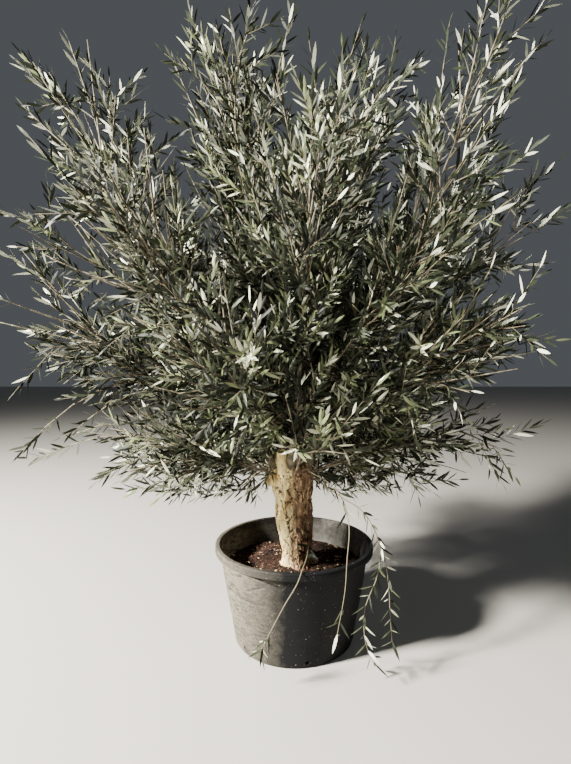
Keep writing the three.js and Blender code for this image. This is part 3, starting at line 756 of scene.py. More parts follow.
def tub_plastic():
    """Dull black plastic. A pale film of dust and painted sunlight lies on its left, thinner on the rim, its
    frayed edge a painted soft edge of light; painted sunlight lies on the inside of the wall at the back
    right.
    Dark scratches and pale chips show in it, and painted shade darkens the creases."""
    finish, tree, place = patterned("black_plastic_dust_and_painted_sunlight", 0x0E0F11, 0.55, 0.08)
    parts = add_node(tree, "ShaderNodeSeparateXYZ", {"Vector": place}).outputs
    # The film's side: the left, where the pale film is dust and painted sunlight, with a frayed edge like a
    # soft edge of light. The dark scratches show only here.
    left = ranged(tree, frayed(tree, place, parts["X"], 26.0, 0.03), -0.045, -0.32, 0.01, 1.0)
    left = times(tree, left, ranged(tree, parts["Z"], 0.438, 0.450, 1.0, 0.55))
    film = patchy(tree, place, 8.0, 0.32, 0.66, 0.8, 8.0)
    specks = patchy(tree, place, 90.0, 0.42, 0.62, 0.7, 6.0)
    # Pale film: dust, with painted sunlight on the left side.
    dust_and_painted_sunlight = times(tree, times(tree, film, left), specks)
    # Painted sunlight on the inside of the wall at the back right.
    painted_sunlight_inner_wall = times(tree, ranged(tree, parts["X"], 0.04, 0.14), ranged(tree, parts["Y"], 0.02, 0.12))
    scratches = mottle(tree, object_place(tree, (3.0, 3.0, 20.0)), 7.0, 0.53, 0.58)
    base = coated(
        tree, 0x0E0F11,
        (dust_and_painted_sunlight, 0x7A7466),
        (times(tree, scratches, times(tree, left, 0.75)), 0x1F1E1C),
        (times(tree, painted_sunlight_inner_wall, patchy(tree, place, 40.0, 0.40, 0.60, 0.7)), 0x827F77),
        (times(tree, mottle(tree, place, 130.0, 0.71, 0.75, 2.0), 0.6), 0xA79F8B),
        # Painted shade in the creases, from the crease depths kept on the pot.
        (ranged(tree, kept_values(tree, "crease"), 0.25, 0.9, 0.0, 0.85), 0x141414),
    )
    roughness = ranged(tree, dust_and_painted_sunlight, 0.0, 1.0, 0.55, 0.88)
    return finish_shader(finish, base, roughness, roughen(tree, place, 90.0, 0.0010))


def mottled(name, look, under, patches, bump):
    """A finish of soft patches on an even colour, each given by scale, levels and colour."""
    finish, tree, place = patterned(name, *look)
    coats = [(mottle(tree, place, *levels), paint) for *levels, paint in patches]
    return finish_shader(finish, coated(tree, under, *coats), normal=roughen(tree, place, *bump))


def potting_soil():
    """Reddish brown soil with dark and ochre crumbs, its ground colours darkened as painted shade."""
    patches = ((28.0, 0.38, 0.62, 0x2C1C15), (95.0, 0.52, 0.60, 0x2C1C13), (140.0, 0.66, 0.72, 0x93704F))
    return mottled("potting_soil", (0x5F3F2C, 0.95, 0.2), 0x160F0C, patches, (120.0, 0.006))


def old_bark():
    """Flaky bark: brown plates with tan flakes, redder in patches, and dark in its fissures. Its left is
    painted sunlight, pale yellow with paler flakes and a frayed edge, and the brown elsewhere is darkened as
    painted shade."""
    finish, tree, place = patterned("olive_bark", 0x7B6142, 0.9, 0.25)
    tall = object_place(tree, (1.0, 1.0, 0.3))
    east = add_node(tree, "ShaderNodeSeparateXYZ", {"Vector": place}).outputs["X"]
    # Painted sunlight: the pale yellow bark on the left, its edge frayed like a soft edge of light.
    left = ranged(tree, frayed(tree, tall, east, 30.0, 0.05), 0.004, -0.052)
    # The brown, darkened as painted shade where the bark is not lit.
    brown = coated(
        tree, 0x5F4535,
        (mottle(tree, tall, 30.0, 0.36, 0.62, 6.0), 0x8A6F55),
        (mottle(tree, place, 11.0, 0.50, 0.68), 0x74482F),
    )
    pale = painted(tree, mottle(tree, tall, 34.0, 0.34, 0.58, 6.0), 0xC8AB68, 0xFFECAC)
    base = coated(
        tree, brown,
        (left, pale),
        (mottle(tree, tall, 70.0, 0.55, 0.66, 5.0), 0xBFA67A),
        (ranged(tree, kept_values(tree, "fissure"), 0.24, 0.60, 0.0, 0.92), 0x38271C),
    )
    return finish_shader(finish, base, normal=roughen(tree, tall, 95.0, 0.006))


def young_bark():
    """Smooth grey-brown bark with faint mottling."""
    patches = ((26.0, 0.40, 0.62, 0x776F5C), (120.0, 0.62, 0.70, 0xA59B86))
    return mottled("young_olive_bark", (0x6B6354, 0.85, 0.25), 0x4E483A, patches, (160.0, 0.0015))


def cut_wood():
    """Weathered end grain: a brown heart, a pale yellow rim and fine rings."""
    finish, tree, place = patterned("sawn_end_grain", 0xB7AE7C, 0.8, 0.25)
    reach = kept_values(tree, "from_heart")
    wave = maths(tree, "SINE", maths(tree, "MULTIPLY", reach, 44.0))
    base = coated(
        tree, 0xA6763F,
        (ranged(tree, reach, 0.15, 0.70), 0xD6CB93),
        (ranged(tree, wave, 0.2, 1.0, 0.0, 0.35), 0x8F7A50),
        (mottle(tree, place, 60.0, 0.54, 0.70), 0x7A6545),
    )
    return finish_shader(finish, base, normal=roughen(tree, place, 140.0, 0.002))


def leaf_finishes():
    """Plain leathery tones: green above, silvery below, with dark and pale ones that are painted shade and
    sunlight.
    """
    finishes = []
    for side, looks in (("upper", LEAF_UPPERS), ("under", LEAF_UNDERS)):
        finishes += [new_finish(f"leaf_{side}_{k + 1}", *look) for k, look in enumerate(looks)]
    return finishes


# The pot

def wall_radius(height):
    """The wall's radius outside: straight from foot to rim band."""
    return mix(WALL_FOOT, WALL_TOP, height / (POT_HEIGHT - RIM_BAND))


def corner_arc(centre, radius, start, stop, steps):
    """Points of a rounded edge: centre + radius (cos a, sin a), a from start to stop in degrees."""
    a = np.radians(np.linspace(start, stop, steps))
    return np.stack([centre[0] + radius * np.cos(a), centre[1] + radius * np.sin(a)], 1)


def pot_profile():
    """Radius and height along the tub's skin: underside, wall, the hollow band under the rim, the
    rolled rim with its groove, and the inside down to the floor."""
    band_foot = POT_HEIGHT - RIM_BAND
    hollow_top = POT_HEIGHT - RIM_THICKNESS
    edge, band = POT_EDGE, RIM_RADIUS - RIM_LIP
    low, high = CREASED_HEIGHTS
    wall = np.concatenate([
        np.linspace(edge, low, 14), np.linspace(low, high, 36)[1:], np.linspace(high, hollow_top, 5)[1:],
    ])
    groove = POT_HEIGHT - GROOVE_DROP
    inner = np.linspace(POT_HEIGHT - edge, FLOOR + edge, 22)
    return np.concatenate([
        [[0.1, 0.0], [0.2, 0.0]],
        corner_arc((wall_radius(0) - edge, edge), edge, -90, 0, 5),
        np.stack([wall_radius(wall), wall], 1)[1:-1],
        corner_arc((wall_radius(hollow_top) + 0.003, hollow_top - 0.003), 0.003, 180, 90, 4),
        [[band, hollow_top], [band, band_foot + 0.0012]],
        corner_arc((RIM_RADIUS - RIM_LIP / 2, band_foot + RIM_LIP / 2), RIM_LIP / 2, 180, 360, 7),
        [[RIM_RADIUS, groove - 0.006], [RIM_RADIUS, groove - 0.002],
         [RIM_RADIUS - 0.0022, groove], [RIM_RADIUS - 0.0004, groove + 0.002]],
        corner_arc((RIM_RADIUS - edge, POT_HEIGHT - edge), edge, 12, 90, 7),
        corner_arc((wall_radius(POT_HEIGHT) + edge - WALL, POT_HEIGHT - edge), edge, 90, 180, 6),
        np.stack([wall_radius(inner) - WALL, inner], 1)[1:],
        corner_arc((wall_radius(FLOOR) - WALL - edge, FLOOR + edge), edge, 0, -90, 5)[1:],
        [[0.15, FLOOR]],
    ])


def crease_depth(bearing, height):
    """How far the wall is pressed in, bearings from -pi to pi: for each crease, its depth times
    exp(-(distance / width)^2) from the straight line between its ends, on the unrolled wall."""
    pressed = np.zeros(np.broadcast(bearing, height).shape)
    for crease in CREASES:
        ends = []
        for end_bearing, end_height in (crease["from"], crease["to"]):
            ends.append(np.array([np.radians(end_bearing) * wall_radius(end_height), end_height]))
        place = np.stack(np.broadcast_arrays(bearing * wall_radius(height), height), -1)
        step = ends[1] - ends[0]
        share = np.clip(np.sum((place - ends[0]) * step, -1) / np.sum(step * step), 0, 1)
        distance = np.linalg.norm(place - ends[0] - share[..., None] * step, axis=-1)
        pressed += crease["depth"] * np.exp(-(distance / crease["width"]) ** 2)
    return pressed


def pot_sway(bearing, height):
    """How far the thin wall bulges: slow waves round the tub that fade towards foot and rim."""
    free = np.sin(np.pi * np.clip(height / (POT_HEIGHT - RIM_BAND), 0, 1))
    waves = sum(share * np.sin(lobes * bearing + rise * height) for share, lobes, rise in POT_WAVES)
    return POT_SWAY * free * waves


def make_pot(plastic):
    """The tub: its profile turned about the Z axis, closer where it is creased, with drain holes."""
    radius, height = np.hsplit(pot_profile(), 2)
    first, last = CREASED_BEARINGS
    stretches = ((-180, first, 10), (first, last, 128), (last, 180, 97))
    bearing = np.radians(np.concatenate([np.linspace(*stretch)[:-1] for stretch in stretches]))
    on_wall = (radius > WALL_RADII[0]) & (radius < WALL_RADII[1])
    worn = radius - crease_depth(bearing, height) + pot_sway(bearing, height)
    rings = around(np.where(on_wall, worn, radius), bearing, height)[None]
    corners, faces = round_surface(rings, np.array([[0, 0, 0.0]]), np.array([[0, 0, FLOOR]]))
    pot = make_piece("nursery_pot", corners, faces, [plastic], "pot")
    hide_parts("pot")
    bore_drains(pot, plastic)
    pot.data.set_sharp_from_angle(angle=np.radians(38))
    places = np.zeros(len(pot.data.vertices) * 3, dtype=np.float32)
    pot.data.vertices.foreach_get("co", places)
    x, y, z = places.reshape(-1, 3).astype(float).T
    # The finish darkens the wall by these values as painted shade in the creases.
    keep_values(pot, "crease", crease_depth(np.arctan2(y, x), z) / CREASES[0]["depth"])


def bore_drains(pot, plastic):
    """Bores six round holes through the wall near its foot."""
    outwards = around(1.0, DRAIN_BEARINGS, 0.0)
    middle = outwards * wall_radius(DRAIN["height"]) + UP * DRAIN["height"]
    reach = np.array([-0.5, 0.5])[None, :, None] * DRAIN["length"] * outwards[:, None]
    corners, faces = limbs(middle[:, None] + reach, np.full((DRAIN["count"], 2), DRAIN["radius"]), 20)
    mesh = bpy.data.meshes.new("drain_drill")
    mesh.from_pydata(corners.tolist(), [], faces.tolist())
    mesh.materials.append(plastic)
    drill = placed("drain_drill", mesh)
    bore = pot.modifiers.new("drain_holes", "BOOLEAN")
    bore.operation = "DIFFERENCE"
    bore.solver = "EXACT"
    bore.object = drill
    with bpy.context.temp_override(object=pot, active_object=pot, selected_objects=[pot]):
        bpy.ops.object.modifier_apply(modifier="drain_holes")
    bpy.data.objects.remove(drill, do_unlink=True)


def rim_bars():
    """The upright bars that the mould left on the rim band."""
    outwards = around(1.0, np.radians(RIM_BARS["bearings"]), 0.0)
    foot, top = POT_HEIGHT - RIM_BAND + RIM_BARS["foot"], POT_HEIGHT - RIM_BARS["drop"]
    rise = np.linspace(foot, top, len(RIM_BAR_RADII))
    paths = outwards[:, None] * (RIM_RADIUS - RIM_BARS["sunk"]) + UP * rise[None, :, None]
    return limbs(paths, np.broadcast_to(RIM_BAR_RADII, paths.shape[:2]), 10)


def drain_rings():
    """A raised ring round each drain hole: a hoop on the wall, turned to the hole's bearing."""
    steps, sides = 32, 8
    a = FULL_TURN * np.arange(steps)[:, None] / steps
    b = FULL_TURN * np.arange(sides) / sides
    loop = DRAIN["radius"] + DRAIN_RING["gap"] + DRAIN_RING["thickness"] * np.cos(b)
    across = loop * np.cos(a)
    height = DRAIN["height"] + loop * np.sin(a)
    proud = wall_radius(height) + DRAIN_RING["thickness"] * np.sin(b)
    c, s = np.cos(DRAIN_BEARINGS)[:, None, None], np.sin(DRAIN_BEARINGS)[:, None, None]
    rings = np.broadcast_arrays(proud * c - across * s, proud * s + across * c, height)
    return ring_surface(np.stack(rings, -1))


def make_mould_marks(plastic):
    """The small marks that the pot's mould left."""
    corners, faces = joined([rim_bars(), drain_rings()])
    make_piece("pot_moulding_marks", corners, faces, [plastic], "pot")


# The soil

def soil_height(x, y):
    """The soil's top: a low dome, flat under the trunk, with broad and fine waves and crumbs."""
    reach = np.hypot(x, y)
    edge = wall_radius(SOIL_EDGE) - WALL
    share = np.clip((reach - SOIL_FLAT) / (edge - SOIL_FLAT), 0, 1)
    broad, fine = SOIL_WAVES["broad"], SOIL_WAVES["fine"]
    swell = np.sin(x / broad[0]) * np.cos(y / broad[1])
    ripple = np.sin(x / fine[0] - y / fine[1])
    waves = SOIL_WAVES["height"] * mix(ripple, swell, SOIL_WAVES["broad_share"])
    free = np.clip((reach - SOIL_FLAT) / SOIL_FADES[0], 0, 1)
    free = free * np.clip((edge - reach) / SOIL_FADES[1], 0, 1)
    crumbs = sum(
        depth * (lattice_noise((x + 1) * scale, (y + 1) * scale, cells, seed) - 0.5)
        for depth, scale, cells, seed in CRUMBS
    )
    return mix(SOIL_CROWN, SOIL_EDGE, share) + waves * free + crumbs


def make_soil(soil):
    """The soil's surface on rings round the Z axis, closed under by its side and bottom."""
    rows, columns = 60, 170
    bearing = FULL_TURN * np.arange(columns) / columns
    top_radius = np.linspace(wall_radius(SOIL_EDGE) - WALL - SOIL_GAP, 0.02, rows)
    radius = np.concatenate([wall_radius(SOIL_SIDE) - WALL - SOIL_GAP, top_radius])[:, None]
    height = soil_height(radius * np.cos(bearing), radius * np.sin(bearing))
    height[: len(SOIL_SIDE)] = SOIL_SIDE[:, None]
    caps = np.array([[0, 0, SOIL_SIDE[0]]]), np.array([[0, 0, SOIL_CROWN]])
    corners, faces = round_surface(around(radius, bearing, height)[None], *caps)
    ground = make_piece("potting_soil_fill", corners, faces, [soil], "soil")
    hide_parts("soil")


def make_chips():
    """Bark chips and pebbles on the soil: flattened eight-faced lumps, seeded over the soil's disc."""
    number = np.arange(CHIPS["count"])
    draw = {key: chance(number, seed) for key, seed in CHIP_DRAW.items()}
    reach = (wall_radius(SOIL_EDGE) - CHIPS["from_wall"]) * np.sqrt(draw["reach"])
    bearing = FULL_TURN * draw["bearing"]
    size = CHIPS["size"][0] + CHIPS["size"][1] * draw["size"] ** 3
    height = soil_height(reach * np.cos(bearing), reach * np.sin(bearing)) + CHIP_SPANS["raised"] * size
    place = around(reach, bearing, height)
    tip = np.radians(CHIPS["tip"]) * (draw["tip"] - 0.5)
    long_way = around(np.cos(tip), FULL_TURN * draw["turn"], np.sin(tip))
    wide_way = sideways(long_way, CHIPS["turn"] * (draw["roll"] - 0.5))
    long, longer = CHIP_SPANS["long"]
    spans = np.stack([
        long_way * (long + longer * draw["length"])[:, None],
        wide_way * CHIP_SPANS["wide"],
        np.cross(long_way, wide_way) * CHIP_SPANS["thick"],
    ], 1) * size[:, None, None]
    corners = np.stack([sign * spans[:, k] for k in range(3) for sign in (1, -1)], 1) + place[:, None]
    lump = np.array([[0, 2, 4], [2, 1, 4], [1, 3, 4], [3, 0, 4], [2, 0, 5], [1, 2, 5], [3, 1, 5], [0, 3, 5]])
    faces = repeated(lump, len(number), 6)
    kinds = np.repeat(np.digitize(draw["tone"], CHIP_SHARES), len(lump))
    finishes = [
        new_finish("bark_chip_brown", 0x4C3324, 0.9, 0.2),
        new_finish("bark_chip_dark", 0x241812, 0.9, 0.2),
        new_finish("bark_chip_pale", 0xB79E78, 0.9, 0.2),
    ]
    make_piece("bark_chips", corners.reshape(-1, 3), faces, finishes, "soil", kinds, smooth=False)


# The trunk

def trunk_axis(height):
    """The trunk's axis: straight from its foot to its head."""
    foot, top = TRUNK_GIRTH[0, 0], TRUNK_GIRTH[-1, 0]
    share = np.asarray((height - foot) / (top - foot))[..., None]
    flat = mix(TRUNK_FOOT, TRUNK_HEAD, share)
    return np.concatenate([flat, np.asarray(height)[..., None]], -1)


def smooth_girth(height):
    """The trunk's girth, with the corners of its table rounded: the mean of five nearby readings."""
    reach = np.array([-0.016, -0.008, 0, 0.008, 0.016])
    near = np.interp(height[..., None] + reach, TRUNK_GIRTH[:, 0], TRUNK_GIRTH[:, 1])
    return near.mean(-1)


def bark_noise(kind, turns, height, warp=0.0):
    """One of the bark's noises on the unrolled trunk, its cells moved round by `warp`."""
    cells, rows, seed = BARK[kind]
    return lattice_noise(turns * cells + warp, height * rows + 40, cells, seed)


def bark_relief(bearing, height):
    """Bark on the unrolled trunk: how far it stands out, and how deep in a fissure it lies. Long ridges
    part where warped noise crosses its middle; flakes, scales and knots are noise on finer lattices."""
    turns = (bearing + np.pi) / FULL_TURN
    warp = 2.0 * (bark_noise("warp", turns, height) - 0.5)
    fissure, crack = (
        np.clip(1 - np.abs(2 * bark_noise(kind, turns, height, warp) - 1) * edge, 0, 1)
        for kind, edge in BARK_EDGES.items()
    )
    flakes = bark_noise("flakes", turns, height) - 0.5
    knots = bark_noise("knots", turns, height) - 0.5
    out = BARK_DEPTHS["knots"] * knots - BARK_DEPTHS["fissures"] * fissure ** 1.5
    out = out - BARK_DEPTHS["cracks"] * crack ** 2 + BARK_DEPTHS["flakes"] * flakes
    return out, np.clip(0.6 * fissure + 0.5 * crack - 0.5 * flakes, 0, 1)


def make_trunk(bark):
    """The trunk's skin: rings at each height round its axis, of radius girth (1 + lumps) + bark + root.
    The rings stand closer towards the head, where the bark's relief fades."""
    rows, columns = 190, 180
    foot, top = TRUNK_GIRTH[0, 0], TRUNK_GIRTH[-1, 0]
    height = foot + (top - foot) * (1 - (1 - np.linspace(0, 1, rows)) ** 1.25)
    bearing = FULL_TURN * np.arange(columns) / columns - np.pi
    h, b = np.meshgrid(height, bearing, indexing="ij")
    swelling = sum(depth * np.sin(lobes * b + h / rise + turn) for lobes, depth, rise, turn in SWELLINGS)
    out, depth = bark_relief(b, h)
    fade = np.clip((top - h) / BARK_FADE["over"], BARK_FADE["least"], 1)
    root = ROOT_FLARE["out"] * np.exp(-(h - foot) / ROOT_FLARE["fade"])
    root = root * np.sin(ROOT_FLARE["lobes"] * b + ROOT_FLARE["turn"])
    radius = smooth_girth(h) * (1 + TRUNK_LUMPS * swelling) + out * fade + root
    rings = (trunk_axis(height)[:, None] + around(radius, b, 0.0))[None]
    ends = trunk_axis(np.array([foot, top + 0.004]))
    corners, faces = round_surface(rings, ends[:1], ends[1:])
    trunk = make_piece("trunk_bark", corners, faces, [bark], "bark")
    keep_values(trunk, "fissure", np.append(depth, [0.5, 0.5]))
    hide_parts("trunk")


def stub_surface(stub, number):
    """A flared cone with uneven bark, then rings across its slightly sunken cut face. Returns corners
    and triangles."""
    start, end = np.array(stub["from"]), np.array(stub["to"])
    share = np.linspace(0, 1, STUB_ROWS)
    way = unit(end - start)
    path = np.concatenate([mix(start, end, share[:, None]), end + STUB_SUNK[:, None] * way])
    radius = stub["radius"] * np.concatenate([mix(STUB_FLARE, 1, share), STUB_FACE])
    row = np.arange(len(path))[:, None]
    turn, along = np.arange(STUB_COLUMNS) / STUB_COLUMNS, row / STUB_ROWS
    rough = sum(
        part * lattice_noise(turn * cells, along * rows + 9, cells, seed + number)
        for part, cells, rows, seed in STUB_BARK
    )
    relief = 1 + STUB_RELIEF * (rough - 0.75) * np.clip((STUB_ROWS + 1 - row) / 3, 0.3, 1)
    u = sideways(way, 0)
    v = np.cross(way, u)
    a = FULL_TURN * np.arange(STUB_COLUMNS)[:, None] / STUB_COLUMNS
    rings = path[:, None] + (radius[:, None] * relief)[..., None] * (u * np.cos(a) + v * np.sin(a))
    return round_surface(rings[None], path[:1], path[-1:])


def make_stubs(bark, end_grain):
    """Two sawn stubs. Their faces past the cone's last ring are cut wood."""
    surfaces = [stub_surface(stub, number) for number, stub in enumerate(STUBS)]
    corners, faces = joined(surfaces)
    edge = (STUB_ROWS - 1) * STUB_COLUMNS
    kinds = np.concatenate([triangles.min(1) >= edge for _, triangles in surfaces])
    stubs = make_piece("sawn_stubs", corners, faces, [bark, end_grain], "bark", kinds)
    heart = np.repeat(np.concatenate([np.ones(STUB_ROWS), STUB_FACE]), STUB_COLUMNS)
    keep_values(stubs, "from_heart", np.tile(np.append(heart, [1, 0]), len(STUBS)))
    keep_values(stubs, "fissure", np.zeros(len(corners)))


# The limbs, grown by the solids' rule

def facing(values, c, s):
    """Of values to the right, back, left and front, the two on the sides that (c, s) points to."""
    right, back, left, front = values
    return np.where(c >= 0, right, left), np.where(s >= 0, back, front)


def all_round(values, bearing):
    """A value given for right, back, left and front, blended by cos^2 and sin^2 of the bearing."""
    c, s = np.cos(np.radians(bearing)), np.sin(np.radians(bearing))
    beside, ahead = facing(values, c, s)
    return beside * c * c + ahead * s * s


def shoot_tip(tier, seed, bearing):
    """The tip of a tier's shoot: on an oval round the head, with a little seeded sway."""
    turned, further, higher = (swing(seed, DRAW[key], spread)[0] for key, spread in TIP_SWAY.items())
    bearing = bearing + turned
    c, s = np.cos(np.radians(bearing)), np.sin(np.radians(bearing))
    beside, ahead = facing(tier["reach"], c, s)
    return np.array([
        HEAD_CENTRE[0] + (1 + further) * c * beside,
        HEAD_CENTRE[1] + (1 + further) * s * ahead,
        all_round(tier["top"], bearing) + higher,
    ])


def shoot_line(tier, start, tip):
    """The three points of a shoot's curve: it leaves leaning, and bends outwards to its tip."""
    across = tip - start
    bearing = np.degrees(np.arctan2(across[1], across[0]))
    bend = start + heading(bearing, tier["lean"]) * np.linalg.norm(across) * BEND
    return np.array([start, bend, tip])


def stem_begin(tier, line):
    """Where along its curve a mass's stem begins, a hair clear of its bough's tip."""
    joint = tier["joint"]
    if not joint:
        return 0.0
    speed = np.linalg.norm(line_at(line, joint + 0.01) - line_at(line, joint)) / 0.01
    return joint + STEM_GAP / speed


def all_shoots():
    """Every shoot of the crown, with the curve that its bough and its foliage share. Those of a tier
    stand evenly round the head, or fork from the risers."""
    shoots = []
    risers = {}
    for kind, tier in TIERS.items():
        for k in range(tier["count"]):
            bearing = tier["first"] + 360 * k / tier["count"]
            seed = tier["seed"] + k
            tip = shoot_tip(tier, seed, bearing)
            if "fork" in tier:
                start = line_at(risers[k], tier["fork"])
            else:
                radius, height = tier["start"]
                start = np.append(HEAD_CENTRE, height) + heading(bearing, 90) * radius
            line = shoot_line(tier, start, tip)
            if kind == "riser":
                risers[k] = line
            shoots.append({
                "kind": kind, "number": k + 1, "seed": seed, "tier": tier, "line": line,
                "from": stem_begin(tier, line), "own": len(shoots),
            })
    return shoots


def limb_track(line, begin, end, girth, spans):
    """Points along a limb with its radius at each."""
    share = np.linspace(0, 1, spans + 1)
    return line_at(line, mix(begin, end, share)), mix(girth[0], girth[1], share)


class Room:
    """The room round a set of tracks. Each track is a chain of straight spans with a radius that
    changes evenly along each."""

    def __init__(self, tracks):
        self.starts = np.concatenate([places[:-1] for places, _ in tracks])
        self.steps = np.concatenate([np.diff(places, axis=0) for places, _ in tracks])
        self.radii = np.concatenate([radii[:-1] for _, radii in tracks])
        self.growth = np.concatenate([np.diff(radii) for _, radii in tracks])
        counts = [len(places) - 1 for places, _ in tracks]
        self.firsts = np.cumsum([0] + counts[:-1])

    def distances(self, points):
        """From each point to each track's surface: the least, over its spans, of the distance to the
        span's nearest point less the radius there."""
        away = points[:, None] - self.starts
        share = np.sum(away * self.steps, -1) / np.sum(self.steps ** 2, -1)
        share = np.clip(share, 0, 1)
        gap = np.linalg.norm(away - share[..., None] * self.steps, axis=-1)
        return np.minimum.reduceat(gap - self.radii - share * self.growth, self.firsts, axis=1)


def crown_rooms(shoots):
    """The rooms round all stems and round all limbs."""
    stems = [limb_track(s["line"], s["from"], 1, (0, 0), STEM_TRACK) for s in shoots]
    tracks = [
        limb_track(s["line"], 0, s["tier"]["joint"], s["tier"]["girth"], BOUGH_TRACK)
        for s in shoots if s["tier"]["joint"]
    ]
    tracks.append((trunk_axis(TRUNK_GIRTH[:, 0]), TRUNK_GIRTH[:, 1] * TRUNK_ROOM))
    for name, radius in HANGING_SOLIDS.items():
        path = np.array(HANGING[name]["path"])
        tracks.append((path, np.full(len(path), radius + HANGING_ROOM)))
    return Room(stems), Room(tracks)


def above_hem(points):
    """Whether each point stands above the crown's hem, whose height is given all round."""
    across = points[:, :2] - HEAD_CENTRE
    shares = (across / np.linalg.norm(across, axis=1, keepdims=True)) ** 2
    beside, ahead = facing(HEM, across[:, 0], across[:, 1])
    return points[:, 2] > beside * shares[:, 0] + ahead * shares[:, 1]


def has_room(points, room):
    """Whether each point is nearer to its own stem than to any other, clear of every limb, and above
    the crown's hem. In the crown's heart, where its own stem is None, all stems share their space."""
    own, stems, limb_room = room
    clear = (limb_room.distances(points) > ROOM).all(1) & above_hem(points)
    if own is None:
        return clear
    to_stems = stems.distances(points)
    near = to_stems[:, own].copy()
    to_stems[:, own] = np.inf
    return clear & (to_stems.min(1) - near > 2 * ROOM)


def flat_outwards(roots, ways, roll):
    """The way a leafy shoot is wide: its flat side looks out of the crown, rolled by some degrees."""
    outwards = np.concatenate([roots[:, :2] - HEAD_CENTRE, np.zeros((len(roots), 1))], 1)
    wide = unit(np.cross(ways, outwards))
    return tilted(wide, np.cross(ways, wide), roll)


def sprays_along(shoot, line, shares, draw, room, growth):
    """Leafy shoots along a twig or stem, turned on by the golden angle, each as long as it has room."""
    seed = shoot["seed"]
    number = np.arange(len(shares))
    turns = FULL_TURN * chance(seed, draw + SHOOT_DRAW["turn"]) + number * GOLDEN_TURN
    along = line_way(line, shares)
    ways = tilted(along, sideways(along, turns), SHOOT_TILT)
    roots = line_at(line, shares) - ways * SHOOT_SUNK
    wides = flat_outwards(roots, ways, swing(seed, draw + number + SHOOT_DRAW["roll"], SHOOT_ROLL))
    sway = swayed(seed, draw + number + SHOOT_DRAW["length"], LENGTH_SWAY)
    lengths = np.zeros(len(shares))
    for scale in growth["tries"]:
        length = (SHOOT_LENGTH * growth["size"] * scale * sway)[:, None]
        belly = roots + ways * length * SHOOT_BELLY
        half = wides * SHOOT_WIDTH * growth["size"] * scale / 2
        corners = np.stack([roots + ways * length, belly + half, belly - half], 1)
        fits = has_room(corners.reshape(-1, 3), room).reshape(-1, 3).all(1)
        lengths = np.where((lengths == 0) & fits, length[:, 0], lengths)
    kept = lengths > 0
    return {"root": roots[kept], "way": ways[kept], "wide": wides[kept], "length": lengths[kept]}


def twig_line(shoot, number, level, scale, growth):
    """A twig's curve from its stem: out to the side, its end lifted or drooping."""
    tier, line, seed = shoot["tier"], shoot["line"], shoot["seed"]
    share = max(TWIG_LOWEST, mix(shoot["from"], 1, level))
    along = line_way(line, np.array([share]))
    turn = number * GOLDEN_TURN + FULL_TURN * chance(seed, DRAW["twig_turn"])
    way = tilted(along, sideways(along, turn), growth.get("tilt", mix(*TWIG_TILTS, level)))[0]
    sway = swayed(seed, DRAW["each_twig"] * (number + 1), LENGTH_SWAY)[0]
    length = tier["spread"] * mix(1, TWIG_SHORTEST, level) * sway * (scale * growth["stretch"])
    start = line_at(line, share)
    bend = start + way * length * TWIG_BEND
    return np.array([start, bend, start + way * length + UP * tier["lift"] * length])


def end_spray(line, begin, end=1.0):
    """The leafy shoot that ends a twig or stem, or that clothes a stretch of it."""
    root, tip = line_at(line, begin), line_at(line, end)
    way = unit(tip - root)
    return {
        "root": root[None],
        "way": way[None],
        "wide": sideways(way[None], 0),
        "length": np.array([np.linalg.norm(tip - root)]),
    }


def gathered(sprays):
    """Many sprays' arrays as one."""
    return {key: np.concatenate([spray[key] for spray in sprays]) for key in sprays[0]}


def side_shoots(sprays, tip):
    """Two shorter shoots that leave each spray on either side, in its own plane. Sprays near the tip of
    their mass stay single."""
    low = np.linalg.norm(sprays["root"] - tip, axis=1) > AIRY_END
    root, way, wide, length = (sprays[key][low] for key in ("root", "way", "wide", "length"))
    sides = []
    for sign in (1, -1):
        start = SIDE_SHOOTS["share"] + SIDE_SHOOTS["apart"] * sign
        sides.append({
            "root": root + way * (length * start)[:, None],
            "way": tilted(way, sign * wide, SIDE_SHOOTS["tilt"]),
            "wide": tilted(wide, -sign * way, SIDE_SHOOTS["tilt"]),
            "length": length * SIDE_SHOOTS["length"],
        })
    return gathered(sides)


def leafy_twigs(shoot, plans, draw, room):
    """Twigs, each the longest of its tries that has room, and the leafy shoots on them. A plan gives a
    twig's number, its level on the stem and its growth."""
    twigs, sprays = [], []
    for number, level, kind in plans:
        growth = GROWTH[kind]
        tries = (twig_line(shoot, number, level, scale, growth) for scale in growth["tries"])
        twig = next((line for line in tries if has_room(line_at(line, TWIG_TESTED), room).all()), None)
        if twig is None:
            continue
        twigs.append(twig)
        own_draw = draw + DRAW["each_twig"] * (number + 1)
        sprays.append(sprays_along(shoot, twig, growth["shoots"], own_draw, room, growth))
        sprays += [end_spray(twig, *stretch) for stretch in growth["leafy"]]
    return twigs, sprays


def first_twigs(shoot, room):
    """The twigs and leafy shoots that the solids have too."""
    line, count = shoot["line"], shoot["tier"]["twigs"]
    shares = mix(shoot["from"], 1, STEM_SHOOTS)
    on_stem = sprays_along(shoot, line, shares, DRAW["stem_shoot"], room, GROWTH["first"])
    plans = [(k, mix(*TWIG_LEVELS, k / (count - 1)), "first") for k in range(count)]
    twigs, sprays = leafy_twigs(shoot, plans, 0, room)
    return twigs, gathered([on_stem, end_spray(line, STEM_SHOOTS_FROM)] + sprays)


def fullness(shoot):
    """The share of a mass's finer growth that stands."""
    return FULLNESS.get((shoot["kind"], shoot["number"]), 1)


